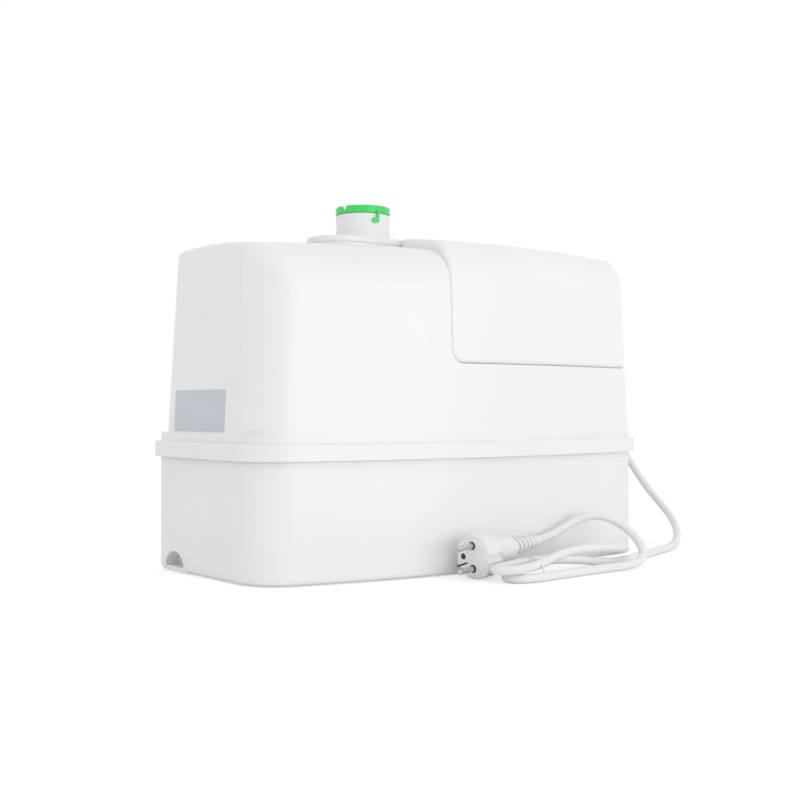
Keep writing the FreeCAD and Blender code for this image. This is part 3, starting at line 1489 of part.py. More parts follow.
def cord_hank():
    """Coiled rest of the lead as one solid of its outer shape, with the strand that runs to the plug."""
    loop = [Vector(x, y, floor_gap) for x, y in hank_plan]
    slab = Part.Face(Part.makePolygon(loop + [loop[0]])).extrude(Vector(0, 0, hank_height))
    front = block(-60, 46, -200, -100, hank_front_height, 60)
    slab = slab.cut(front)
    strip = [Vector(x, y, floor_gap) for x, y in hump_plan]
    hump = Part.Face(Part.makePolygon(strip + [strip[0]])).extrude(Vector(0, 0, 60))
    rise = [Vector(x, -200, z) for x, z in hump_profile]
    under = Part.Face(Part.makePolygon(rise + [rise[0]])).extrude(Vector(0, 200, 0))
    end = plug_point(plug_length)
    ahead = (plug_point(plug_length + 1) - end).normalize()
    strand = rod(end, ahead, strand_length, cord_radius)
    return fuse_all([slab, hump.common(under), strand]).cut(tie_band())


def tie_band():
    """Flat band round the front strands of the hank."""
    x0 = tie_x - tie_width / 2
    outer = block(x0, x0 + tie_width, tie_front - 1, tie_back + 1, floor_gap / 2, hank_front_height + 1)
    return outer.cut(block(x0 - 1, x0 + tie_width + 1, tie_front, tie_back, floor_gap / 2 + 0.9, hank_front_height))


def hank_tie():
    return tie_band()


os.makedirs("parts", exist_ok=True)
save("tank", tank())
save("base_pads", base_pads())
save("inlet_sleeve_side", on_side_inlet(inlet_sleeve()))
save("inlet_sleeve_back", on_back_inlet(inlet_sleeve()))
save("inlet_flap_side", on_side_inlet(inlet_flap()))
save("inlet_flap_back", on_back_inlet(inlet_flap()))
save("hinge_pins", hinge_pins())
save("back_inlet_plug", back_inlet_plug())
save("deck_gasket", deck_gasket())
save("deck_plate", deck_plate())
save("deck_screws", deck_screws())
save("strainer", strainer())
save("volute", volute())
save("volute_screws", volute_screws())
save("impeller", impeller())
save("pump_shaft", pump_shaft())
save("pump_column", pump_column())
save("shaft_seal", shaft_seal())
save("deck_grommet", deck_grommet())
save("discharge_pipe", discharge_pipe())
save("pipe_clamps", pipe_clamps())
save("valve_body", valve_body())
save("valve_flap", valve_flap())
save("discharge_fitting", discharge_fitting())
save("plate_screws", plate_screws())
save("discharge_cap", discharge_cap())
save("lower_shield", lower_shield())
save("upper_shield", upper_shield())
save("motor_can", motor_can())
save("motor_bearings", motor_bearings())
save("stator_stack", stator_stack())
save("stator_windings", stator_windings())
save("rotor_core", rotor_core())
save("motor_mounts", motor_mounts())
save("mount_screws", mount_screws())
save("capacitor", capacitor())
save("capacitor_clip", capacitor_clip())
save("terminal_box", terminal_box())
save("terminal_lid", terminal_lid())
save("dip_tube", dip_tube())
save("switch_dish_lower", switch_dish_lower())
save("membrane", membrane())
save("switch_dish_upper", switch_dish_upper())
save("plunger", plunger())
save("switch_body", switch_body())
save("lever", lever())
save("vent_housing", vent_housing())
save("vent_cartridge", vent_cartridge())
save("hood", hood())
save("motor_cover", motor_cover())
save("cover_screws", cover_screws())
save("gland_body", gland_body())
save("gland_nut", gland_nut())
save("gland_boot", gland_boot())
save("lead_tail", lead_tail())
save("lead", lead())
save("cord_hank", cord_hank())
save("hank_tie", hank_tie())
save("plug_body", plug_body())
save("plug_pins", plug_pins())
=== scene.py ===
"""Blender scene of the waste-water lifting station: camera, lead, materials, fine detail, floor and light."""
import json
import math
import bmesh
import bpy
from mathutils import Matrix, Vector

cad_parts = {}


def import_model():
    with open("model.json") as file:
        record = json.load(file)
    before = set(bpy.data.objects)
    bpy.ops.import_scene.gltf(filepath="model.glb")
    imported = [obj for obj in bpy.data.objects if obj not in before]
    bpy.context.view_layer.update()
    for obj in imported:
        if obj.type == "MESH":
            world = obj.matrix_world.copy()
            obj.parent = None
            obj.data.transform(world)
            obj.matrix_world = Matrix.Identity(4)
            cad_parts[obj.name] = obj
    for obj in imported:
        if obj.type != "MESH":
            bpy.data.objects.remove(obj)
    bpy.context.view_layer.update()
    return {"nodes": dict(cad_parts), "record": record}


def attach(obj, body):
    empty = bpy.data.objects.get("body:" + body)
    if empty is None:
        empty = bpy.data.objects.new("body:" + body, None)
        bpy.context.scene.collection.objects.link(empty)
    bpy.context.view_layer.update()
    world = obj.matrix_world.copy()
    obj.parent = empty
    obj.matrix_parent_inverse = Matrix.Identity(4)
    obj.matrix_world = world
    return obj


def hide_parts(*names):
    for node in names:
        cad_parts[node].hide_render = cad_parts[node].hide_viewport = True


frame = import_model()
nodes = frame["nodes"]
scene = bpy.context.scene
MM = 0.001
WELD = 1e-6
CURVE_ORDER = 3
ROUND_STEPS = 48


# Camera and view

IMAGE_PIXELS = 800
RISE_PIXELS = 6.0
LENS = 54.0
SENSOR = 36.0
CLIP = (0.01, 50.0)
CAMERA_AT = Vector((-0.667, -0.884, 0.142))
LOOK = Vector((0.588, 0.809, 0.0)).normalized()

camera_data = bpy.data.cameras.new("camera")
camera_data.lens = LENS
camera_data.sensor_width = SENSOR
camera_data.shift_y = RISE_PIXELS / IMAGE_PIXELS
camera_data.clip_start, camera_data.clip_end = CLIP
camera = bpy.data.objects.new("camera", camera_data)
camera.location = CAMERA_AT
camera.rotation_mode = "QUATERNION"
camera.rotation_quaternion = LOOK.to_track_quat("-Z", "Y")
scene.collection.objects.link(camera)
scene.camera = camera


# Helpers

def metres(points):
    return [Vector((x * MM, y * MM, z * MM)) for x, y, z in points]


def link(obj):
    scene.collection.objects.link(obj)
    return obj


def finished(obj, body, material, smooth=True):
    """Give a new piece its material and the body that it moves with."""
    obj.data.materials.clear()
    obj.data.materials.append(material)
    if smooth and obj.type == "MESH":
        for face in obj.data.polygons:
            face.use_smooth = True
    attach(obj, body)
    return obj


def mesh_object(name, bm):
    data = bpy.data.meshes.new(name)
    bmesh.ops.recalc_face_normals(bm, faces=bm.faces[:])
    bm.to_mesh(data)
    bm.free()
    return link(bpy.data.objects.new(name, data))


def nurbs_curve(name, points, radius, closed=False, resolution=12, roundness=7):
    """Smooth rod or ring with the given points, in mm, as its control points."""
    curve = bpy.data.curves.new(name, "CURVE")
    curve.dimensions = "3D"
    spline = curve.splines.new("NURBS")
    spline.points.add(len(points) - 1)
    for target, point in zip(spline.points, metres(points)):
        target.co = (*point, 1.0)
    spline.order_u = CURVE_ORDER
    spline.use_cyclic_u = closed
    spline.use_endpoint_u = not closed
    spline.resolution_u = resolution
    curve.bevel_depth = radius * MM
    curve.bevel_resolution = roundness
    curve.use_fill_caps = not closed
    return link(bpy.data.objects.new(name, curve))


# Materials

class Nodes:
    """Short way to write a material's nodes."""

    def __init__(self, name):
        self.material = bpy.data.materials.new(name)
        self.material.use_nodes = True
        self.tree = self.material.node_tree
        self.shader = self.tree.nodes["Principled BSDF"]
        self.place = self.add("ShaderNodeTexCoord").outputs["Object"]

    def add(self, kind, **values):
        node = self.tree.nodes.new(kind)
        for key, value in values.items():
            setattr(node, key, value)
        return node

    def wire(self, source, target):
        self.tree.links.new(source, target)

    def set(self, **values):
        """Plain values of the shader."""
        names = {
            "color": "Base Color", "rough": "Roughness", "level": "Specular IOR Level", "metal": "Metallic",
            "coat": "Coat Weight", "coat_rough": "Coat Roughness",
            "scatter": "Subsurface Weight", "scatter_scale": "Subsurface Scale",
        }
        for key, value in values.items():
            self.shader.inputs[names[key]].default_value = value
        return self

    def noise(self, scale, detail=3.0, rough=0.5, stretch=(1, 1, 1)):
        mapping = self.add("ShaderNodeMapping")
        mapping.inputs["Scale"].default_value = stretch
        self.wire(self.place, mapping.inputs["Vector"])
        texture = self.add("ShaderNodeTexNoise")
        texture.inputs["Scale"].default_value = scale
        texture.inputs["Detail"].default_value = detail
        texture.inputs["Roughness"].default_value = rough
        self.wire(mapping.outputs["Vector"], texture.inputs["Vector"])
        return texture.outputs["Fac"]

    def ramp(self, source, low, high, from_low=0.3, from_high=0.7):
        """A colour or a number that runs from low to high with the source."""
        if isinstance(low, (int, float)):
            node = self.add("ShaderNodeMapRange")
            node.inputs["From Min"].default_value = from_low
            node.inputs["From Max"].default_value = from_high
            node.inputs["To Min"].default_value = low
            node.inputs["To Max"].default_value = high
            self.wire(source, node.inputs["Value"])
            return node.outputs["Result"]
        node = self.add("ShaderNodeValToRGB")
        node.color_ramp.elements[0].position = from_low
        node.color_ramp.elements[1].position = from_high
        node.color_ramp.elements[0].color = (*low, 1)
        node.color_ramp.elements[1].color = (*high, 1)
        self.wire(source, node.inputs["Fac"])
        return node.outputs["Color"]

    def bump(self, *layers):
        """Bump from (height, distance in mm, strength) layers, one over the other."""
        normal = None
        for height, distance, strength in layers:
            node = self.add("ShaderNodeBump")
            node.inputs["Distance"].default_value = distance * MM
            node.inputs["Strength"].default_value = strength
            self.wire(height, node.inputs["Height"])
            if normal is not None:
                self.wire(normal, node.inputs["Normal"])
            normal = node.outputs["Normal"]
        self.wire(normal, self.shader.inputs["Normal"])
        return self

    def color(self, source):
        self.wire(source, self.shader.inputs["Base Color"])
        return self

    def rough(self, source):
        self.wire(source, self.shader.inputs["Roughness"])
        return self


def around(rgb, spread):
    """Two colours a little darker and lighter than the given one."""
    return tuple(c * (1 - spread) for c in rgb), tuple(min(c * (1 + spread), 1.0) for c in rgb)


def moulded(name, rgb, rough, grain_mm=0.35, grain=0.04, spread=0.012, wave=0.25, coat=0.0, scatter=0.0):
    """Moulded plastic: faint colour drift, long flow waves and a fine spark-eroded grain."""
    m = Nodes(name)
    m.set(coat=coat, coat_rough=0.25, scatter=scatter, scatter_scale=0.004)
    drift = m.noise(9.0, 2.0)
    m.color(m.ramp(drift, *around(rgb, spread)))
    m.rough(m.ramp(m.noise(60.0, 3.0), rough - 0.04, rough + 0.05))
    flow = m.noise(6.0, 1.0, 0.3, (1, 1, 0.5))
    m.bump((flow, wave, 0.35), (m.noise(1 / (grain_mm * MM), 2.0, 0.6), grain, 0.5))
    return m.material


def rubbery(name, rgb, rough=0.6):
    """Rubber with a dull, slightly uneven skin."""
    m = Nodes(name)
    m.set(level=0.35)
    m.color(m.ramp(m.noise(40.0, 4.0), *around(rgb, 0.08)))
    m.rough(m.ramp(m.noise(220.0, 3.0), rough - 0.06, rough + 0.08))
    m.bump((m.noise(1400.0, 3.0, 0.6), 0.05, 0.5), (m.noise(90.0, 2.0), 0.12, 0.25))
    return m.material


def metallic(name, rgb, rough, stretch=(1, 1, 1), spread=0.05):
    """Bare metal with fine marks, drawn out where stretch says so."""
    m = Nodes(name)
    m.set(metal=1.0)
    brushed = m.noise(900.0, 3.0, 0.6, stretch)
    m.color(m.ramp(m.noise(60.0, 3.0), *around(rgb, spread)))
    m.rough(m.ramp(brushed, rough - 0.05, rough + 0.1))
    m.bump((brushed, 0.015, 0.4))
    return m.material


def laminated(name, rgb):
    """Stack of thin sheets, seen as fine lines up the side."""
    m = Nodes(name)
    m.set(metal=1.0)
    wave = m.add("ShaderNodeTexWave", wave_type="BANDS", bands_direction="Z")
    wave.inputs["Scale"].default_value = 320.0
    wave.inputs["Distortion"].default_value = 0.4
    m.wire(m.place, wave.inputs["Vector"])
    m.color(m.ramp(wave.outputs["Fac"], tuple(c * 0.6 for c in rgb), rgb, 0.1, 0.6))
    m.rough(m.ramp(m.noise(200.0), 0.35, 0.55))
    m.bump((wave.outputs["Fac"], 0.1, 0.6))
    return m.material


def wound(name, rgb):
    """Enamelled wire in close turns."""
    m = Nodes(name)
    m.set(metal=0.8, coat=0.5, coat_rough=0.15)
    wave = m.add("ShaderNodeTexWave", wave_type="BANDS", bands_direction="DIAGONAL")
    wave.inputs["Scale"].default_value = 300.0
    wave.inputs["Distortion"].default_value = 2.5
    wave.inputs["Detail Scale"].default_value = 0.6
    m.wire(m.place, wave.inputs["Vector"])
    m.color(m.ramp(wave.outputs["Fac"], tuple(c * 0.45 for c in rgb), rgb, 0.1, 0.7))
    m.rough(m.ramp(m.noise(300.0), 0.22, 0.38))
    m.bump((wave.outputs["Fac"], 0.35, 0.7))
    return m.material


def granular(name, rgb):
    """Loose grains with painted light on their tops and painted shade between them."""
    m = Nodes(name)
    cells = m.add("ShaderNodeTexVoronoi")
    cells.inputs["Scale"].default_value = 420.0
    m.wire(m.place, cells.inputs["Vector"])
    # Light cell centres paint light on the grain tops; dark cell edges paint shade in the gaps between
    # grains.
    light, dark = (tuple(c * share for c in rgb) for share in (1.6, 0.5))
    m.color(m.ramp(cells.outputs["Distance"], light, dark, 0.0, 0.7))
    m.rough(m.ramp(m.noise(500.0), 0.7, 0.95))
    m.bump((cells.outputs["Distance"], 0.8, 0.8))
    return m.material


WHITE = (0.875, 0.88, 0.878)
materials = {
    "white_housing": moulded("white_housing", WHITE, 0.34, coat=0.15, scatter=0.02),
    "white_cover": moulded("white_cover", (0.885, 0.89, 0.888), 0.32, coat=0.15, scatter=0.02),
    "white_fitting": moulded("white_fitting", (0.87, 0.875, 0.868), 0.42, grain=0.03, wave=0.1),
    "green_cap": moulded(
        "green_cap", (0.045, 0.72, 0.135), 0.30, grain=0.03, spread=0.05, wave=0.1, scatter=0.2,
    ),
    "white_cord": moulded(
        "white_cord", (0.85, 0.85, 0.835), 0.45, grain_mm=0.8, grain=0.03, spread=0.02, wave=0.1,
    ),
    "white_plug": moulded("white_plug", (0.86, 0.86, 0.85), 0.40, grain=0.06, spread=0.02, wave=0.1),
    "nickel": metallic("nickel", (0.62, 0.60, 0.56), 0.18),
    "steel": metallic("steel", (0.56, 0.57, 0.58), 0.22, (1, 1, 0.05)),
    "zinc_steel": metallic("zinc_steel", (0.62, 0.63, 0.65), 0.30),
    "black_rubber": rubbery("black_rubber", (0.022, 0.022, 0.023)),
    "grey_rubber": rubbery("grey_rubber", (0.10, 0.104, 0.108)),
    "grey_pipe": moulded("grey_pipe", (0.26, 0.28, 0.30), 0.40, grain=0.02, spread=0.03),
    "dark_plastic": moulded("dark_plastic", (0.030, 0.032, 0.035), 0.45, grain=0.06, spread=0.08),
    "aluminium": metallic("aluminium", (0.62, 0.63, 0.64), 0.42, spread=0.08),
    "painted_can": moulded("painted_can", (0.025, 0.028, 0.032), 0.35, grain=0.05, spread=0.06, coat=0.3),
    "lamination": laminated("lamination", (0.42, 0.43, 0.44)),
    "winding": wound("winding", (0.60, 0.24, 0.07)),
    "capacitor_can": moulded("capacitor_can", (0.62, 0.62, 0.60), 0.38, grain=0.02, spread=0.02),
    "charcoal": granular("charcoal", (0.030, 0.030, 0.031)),
    "tie": moulded("tie", (0.80, 0.80, 0.785), 0.40, grain=0.03, spread=0.02, wave=0.05),
}

for part in frame["record"]["subparts"]:
    for entry in nodes[part["node"]].material_slots:
        entry.material = materials[part["material_slot"]]


# Crease where each flat end panel meets the rounded corner of the shells, in mm

CREASE_Y = -47.0
CREASE_Z = 120.0
CREASE_LEAN = 0.055
CREASE_REACH = 33.0
CREASE_DEPTH = 9.5
CREASE_CUTS = (0, 2, 5, 8, 12, 16, 20, 25, 30, 33)
FOOT_CUTS = (119.8, 121.4, 123.0)
FADE_X = (110, 150)
FADE_Z = (FOOT_CUTS[0], FOOT_CUTS[-1])


def past_crease(at):
    """How far a point stands in front of the crease's leaning line."""
    return CREASE_Y + CREASE_LEAN * (at.z - CREASE_Z) - at.y


def crease_shift(distance):
    """Inward shift of the corner at a distance past the crease, and its slope."""
    t = max(distance, 0.0) / CREASE_REACH
    if t > 1:
        return 0.0, 0.0
    return CREASE_DEPTH * t * (1 - t * t) ** 2, CREASE_DEPTH / CREASE_REACH * (1 - t * t) * (1 - 5 * t * t)


def share_between(value, low, high):
    return min(max((value - low) / (high - low), 0.0), 1.0)


def crease_share(at):
    """How much of the crease a point takes: none near the middle or at the shell's foot."""
    return share_between(abs(at.x), *FADE_X) * share_between(at.z, *FADE_Z)


def split(bm, point, normal):
    """Add edges where a plane through a point, in mm, meets the mesh."""
    bmesh.ops.bisect_plane(
        bm, geom=bm.verts[:] + bm.edges[:] + bm.faces[:], dist=WELD,
        plane_co=[c * MM for c in point], plane_no=normal,
    )


def creased(name):
    """Copy of a shell with a crisp crease at the front edge of its end panels."""
    source = nodes[name]
    data = source.data.copy()
    kept = data.attributes.new("kept_normal", "FLOAT_VECTOR", "CORNER")
    for i, corner in enumerate(data.corner_normals):
        kept.data[i].vector = corner.vector
    bm = bmesh.new()
    bm.from_mesh(data)
    for cut in CREASE_CUTS:
        split(bm, (0, CREASE_Y - cut, CREASE_Z), (0, 1, -CREASE_LEAN))
    for height in FOOT_CUTS:
        split(bm, (0, 0, height), (0, 0, 1))
    bmesh.ops.triangulate(bm, faces=[f for f in bm.faces if len(f.verts) > 3])
    layer = bm.loops.layers.float_vector["kept_normal"]
    for face in bm.faces:
        on_corner = past_crease(face.calc_center_median() / MM) > 0
        for loop in face.loops:
            at = loop.vert.co / MM
            slope = crease_shift(past_crease(at))[1] * crease_share(at) if on_corner else 0.0
            normal = loop[layer].copy()
            side = -1 if at.x > 0 else 1
            normal.y += side * slope * normal.x
            normal.z -= side * slope * CREASE_LEAN * normal.x
            loop[layer] = normal.normalized()
    for vert in bm.verts:
        at = vert.co / MM
        vert.co.x -= math.copysign(crease_shift(past_crease(at))[0] * crease_share(at) * MM, at.x)
    bm.to_mesh(data)
    bm.free()
    normals = [tuple(entry.vector) for entry in data.attributes["kept_normal"].data]
    data.attributes.remove(data.attributes["kept_normal"])
    data.normals_split_custom_set(normals)
    shell = link(bpy.data.objects.new(name + "_creased", data))
    shell.matrix_world = source.matrix_world.copy()
    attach(shell, "station")
    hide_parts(name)


creased("hood")
creased("motor_cover")


# Plug's face: the insert, dark rings round the pins, the offset earth socket with its hole's shade painted as
# a dark disc, and a painted shadow beside it

PLUG_FACE = (-42.6, -126.3, 18.5)
PLUG_TURN = math.radians(11.2)
PLUG_TILT = math.radians(4.0)
PIN_PITCH = 19.0
EARTH_ACROSS = 9.4
SHARP_ANGLE = math.radians(35)


def plug_place(along, across, up):
    """Place of a point given along the plug's axis from its face, in metres."""
    x = along * math.cos(PLUG_TILT) - up * math.sin(PLUG_TILT)
    z = along * math.sin(PLUG_TILT) + up * math.cos(PLUG_TILT)
    return Vector((
        (PLUG_FACE[0] + x * math.cos(PLUG_TURN) - across * math.sin(PLUG_TURN)) * MM,
        (PLUG_FACE[1] + x * math.sin(PLUG_TURN) + across * math.cos(PLUG_TURN)) * MM,
        (PLUG_FACE[2] + z) * MM,
    ))


def turned_on_face(bm, profile, across, up, steps=ROUND_STEPS):
    """Closed profile (radius, along) turned about a line through the plug's face."""
    rings = []
    for i in range(steps):
        angle = 2 * math.pi * i / steps
        rings.append([
            bm.verts.new(plug_place(along, across + r * math.cos(angle), up + r * math.sin(angle)))
            for r, along in profile
        ])
    count = len(profile)
    for i in range(steps):
        a, b = rings[i], rings[(i + 1) % steps]
        for j in range(count):
            k = (j + 1) % count
            bm.faces.new([a[j], b[j], b[k], a[k]])


def merged(name, bm):
    """Object of a mesh whose points on the axis have become one."""
    bmesh.ops.remove_doubles(bm, verts=bm.verts[:], dist=WELD)
    return mesh_object(name, bm)


def plug_insert():
    """Thin insert on the face, with a rounded rim, that carries the pins and the earth socket."""
    bm = bmesh.new()
    disc = [(0, -0.7), (14.6, -0.7), (15.3, -0.4), (15.6, 0.0), (15.6, 0.2), (0, 0.2)]
    earth_rim = [(2.6, -1.1), (3.8, -1.1), (4.2, -0.7), (4.2, -0.5), (2.6, -0.5)]
    turned_on_face(bm, disc, 0, 0, 2 * ROUND_STEPS)
    turned_on_face(bm, earth_rim, EARTH_ACROSS, 0)
    return merged("plug_insert", bm)


def plug_marks_and_shade():
    """Dark rings at the pins' roots, painted shade in the earth socket's mouth and a painted shadow patch
    beside it.
    """
    bm = bmesh.new()
    pin_ring = [(2.42, -1.0), (3.25, -1.0), (3.4, -0.85), (3.4, -0.6), (2.42, -0.6)]
    # Dark disc laid on the face: painted shade standing in for the earth socket's hole.
    earth_hole_shade = [(0, -0.9), (2.3, -0.9), (2.6, -0.75), (2.6, -0.6), (0, -0.6)]
    # Thin dark patch beside the earth socket: a painted shadow below one pin.
    painted_shadow_patch = [(-3.4, -4.4), (7.6, -8.2), (7.1, -9.6), (-3.9, -5.8)]
    for side in (-1, 1):
        turned_on_face(bm, pin_ring, 0, side * PIN_PITCH / 2)
    turned_on_face(bm, earth_hole_shade, EARTH_ACROSS, 0)
    rows = [
        [bm.verts.new(plug_place(along, EARTH_ACROSS + across, up)) for across, up in painted_shadow_patch]
        for along in (-0.8, -0.6)
    ]
    for i in range(len(painted_shadow_patch)):
        j = (i + 1) % len(painted_shadow_patch)
        bm.faces.new([rows[0][i], rows[0][j], rows[1][j], rows[1][i]])
    for row in rows:
        bm.faces.new(row)
    return merged("plug_marks_and_shade", bm)


plug_pieces = [plug_insert(), plug_marks_and_shade()]
for piece, slot in zip(plug_pieces, ("white_plug", "dark_plastic")):
    finished(piece, "station", materials[slot])
    piece.data.set_sharp_from_angle(angle=SHARP_ANGLE)


# Tie: a slim round band that hugs the strands

BAND_X = -4.0
BAND_RADIUS = 0.75
band_loop = [
    (-170.6, 6.0), (-169.0, 10.5), (-163.0, 17.2), (-154.0, 19.2), (-145.0, 17.6), (-137.6, 14.0),
    (-136.6, 8.0), (-139.0, 3.0), (-146.0, 0.9), (-158.0, 0.9), (-167.0, 1.0), (-170.6, 2.6),
]
band = nurbs_curve(
    "hank_band", [(BAND_X, y, z) for y, z in band_loop], BAND_RADIUS, closed=True, resolution=10, roundness=4,
)
finished(band, "station", materials["tie"])
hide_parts("hank_tie")


# Rims of the two fixing niches

NICHE_Y = 58.0
NICHE_HALF_WIDTH = 17.0
NICHE_SPRING = 8.1
NICHE_TOP = 19.0
RIM_FOOT = 3.4
RIM_KNEE = 5.8
RIM_LIFT = 0.25
RIM_RADIUS = 1.1
ARCH_STEPS = 12
END_X = 227
END_STEP = 5
END_BACK_Y = 104
END_TAPER = math.radians(3)


def niche_rim(name, side):
    """Raised bead round one niche's mouth, on the tapered end wall."""
    crown = NICHE_TOP - NICHE_SPRING
    radius = (NICHE_HALF_WIDTH ** 2 + crown ** 2) / (2 * crown)
    sweep = math.asin(NICHE_HALF_WIDTH / radius)
    front, back = NICHE_Y - NICHE_HALF_WIDTH, NICHE_Y + NICHE_HALF_WIDTH
    path = [(front, RIM_FOOT), (front, RIM_KNEE)]
    for i in range(ARCH_STEPS + 1):
        angle = sweep * (2 * i / ARCH_STEPS - 1)
        path.append((NICHE_Y + radius * math.sin(angle), NICHE_TOP - radius + radius * math.cos(angle)))
    path += [(back, RIM_KNEE), (back, RIM_FOOT)]
    outermost = END_X - END_STEP / math.cos(END_TAPER) + RIM_LIFT
    points = [(side * (outermost - (END_BACK_Y - y) * math.tan(END_TAPER)), y, z) for y, z in path]
    finished(nurbs_curve(name, points, RIM_RADIUS), "station", materials["white_housing"])


niche_rim("niche_rim_left", -1)
niche_rim("niche_rim_right", 1)


# Lead and hank

CORD_RADIUS = 3.75
lead_route = [
    (240, 48, 139), (254, 48, 139), (270.5, 47.3, 134), (285.5, 44, 123.5), (295.5, 37.5, 108.5),
    (300.5, 28.5, 89), (302.8, 15, 70.5), (302.5, -1, 54), (300, -20, 40), (294.5, -40, 28),
    (282.5, -59, 16.5), (264, -75, 7.5), (241, -88, 3.9), (214, -98, 3.9), (187, -110, 3.9),
    (161, -119, 3.9), (137.5, -128.3, 3.9),
]
hank_route = [
    (112, -136, 4.0), (86, -142, 6.5), (60, -147, 11), (30, -150.5, 14), (5, -151, 15),
    (-12, -150.5, 14), (-30, -148.8, 11.8), (-40, -150, 11.4), (-44.5, -156, 11.4), (-41.5, -163, 11.4),
    (-32, -167, 11.6), (-18, -166, 12), (0, -161.5, 13.5), (20, -155, 16.5), (42, -149.5, 19.5),
    (66, -146.5, 20), (90, -145.5, 19), (112, -142.5, 17.3), (126, -136, 15.2), (130.5, -127, 12.8),
    (125, -118.8, 11.2), (110, -117, 10.6), (90, -124, 11.5), (65, -133, 13), (42, -139.3, 13),
    (20, -140.3, 12.5), (2, -140, 10.5), (-13, -141.8, 7), (-24, -146.5, 4.4), (-31, -154, 3.9),
    (-30, -162.5, 3.9), (-21, -168, 3.9), (-8, -169, 3.9), (12, -166.5, 3.9), (35, -163.5, 3.9),
    (60, -161.5, 3.9), (84, -160.5, 3.9), (104, -160, 4.1), (120, -158.5, 6), (131, -153, 12.5),
    (134.5, -142, 24), (128, -127.5, 37), (113, -114, 44.5), (96, -106.5, 41), (78, -104.3, 32.5),
    (61, -105.8, 27), (42.7, -109.4, 24.6),
]


def route_length(points):
    """Length of the smooth line that the control points give."""
    probe = nurbs_curve("probe", points, 0.0)
    mesh = bpy.data.meshes.new_from_object(probe)
    line = [v.co.copy() for v in mesh.vertices]
    bpy.data.meshes.remove(mesh)
    bpy.data.curves.remove(probe.data)
    return sum((b - a).length for a, b in zip(line, line[1:]))


cord_points = lead_route + hank_route
lead = nurbs_curve("mains_lead", cord_points, CORD_RADIUS)
finished(lead, "station", materials["white_cord"])
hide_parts("lead", "cord_hank")
route_length(cord_points)


# Label place, bare and grey, on the flat end panel

LABEL_Y = (-21.0, 71.0)
LABEL_Z = (120.8, 155.4)
LABEL_CORNER = 2.0
LABEL_THICK = 0.22
LABEL_GAP = 0.02
LABEL_BEVEL = (0.05, 0.12)
CORNER_STEPS = 6
PANEL_X = -214.5
PANEL_Z = 119.5
PANEL_LEAN = math.radians(2.8)


def label_plate():
    """Thin bare plate with round corners, laid on the leaning end panel."""
    bm = bmesh.new()
    (y0, y1), (z0, z1) = LABEL_Y, LABEL_Z
    middle_y, middle_z = (y0 + y1) / 2, (z0 + z1) / 2
    outline = []
    for cy, cz, start in (
        (y1 - LABEL_CORNER, z1 - LABEL_CORNER, 0), (y0 + LABEL_CORNER, z1 - LABEL_CORNER, 90),
        (y0 + LABEL_CORNER, z0 + LABEL_CORNER, 180), (y1 - LABEL_CORNER, z0 + LABEL_CORNER, 270),
    ):
        for i in range(CORNER_STEPS + 1):
            angle = math.radians(start + 90 * i / CORNER_STEPS)
            outline.append((cy + LABEL_CORNER * math.cos(angle), cz + LABEL_CORNER * math.sin(angle)))
    rows = []
    drop, narrowing = LABEL_BEVEL
    for lift, inset in ((LABEL_GAP, 0.0), (LABEL_THICK - drop, 0.0), (LABEL_THICK, narrowing)):
        share_y, share_z = 1 - inset / (y1 - middle_y), 1 - inset / (z1 - middle_z)
        row = []
        for y, z in outline:
            y, z = middle_y + (y - middle_y) * share_y, middle_z + (z - middle_z) * share_z
            x = PANEL_X + math.tan(PANEL_LEAN) * (z - PANEL_Z) - lift
            row.append(bm.verts.new((x * MM, y * MM, z * MM)))
        rows.append(row)
    for a, b in zip(rows, rows[1:]):
        for i in range(len(a)):
            j = (i + 1) % len(a)
            bm.faces.new([a[i], a[j], b[j], b[i]])
    bm.faces.new(rows[-1])
    bm.faces.new(list(reversed(rows[0])))
    return mesh_object("label_plate", bm)


def label_material():
    """Greyish foil with marks drawn out along its length."""
    m = Nodes("label_foil")
    m.set(metal=0.25, coat=0.3, coat_rough=0.3)
    m.color(m.ramp(m.noise(25.0, 3.0, 0.5, (1, 1, 6)), *around((0.56, 0.60, 0.645), 0.03)))
    m.rough(m.ramp(m.noise(700.0, 3.0, 0.6, (1, 0.04, 1)), 0.30, 0.45))
    m.bump((m.noise(900.0, 2.0, 0.6), 0.02, 0.4))
    return m.material


finished(label_plate(), "station", label_material(), smooth=False)


# Ribs of the spigot's thread, with a flat crest on each

SPIGOT_X = -60
SPIGOT_Y = 8
SPIGOT_RADIUS = 23.9
THREAD_PITCH = 2.31
THREAD_TURNS = 3.4
THREAD_Z = 292.6
THREAD_RISE = 0.28
THREAD_SUNK = 0.3
THREAD_STEPS = 120
RUN_OUT_STEPS = 14
RUN_OUT_WIDTH = 0.3


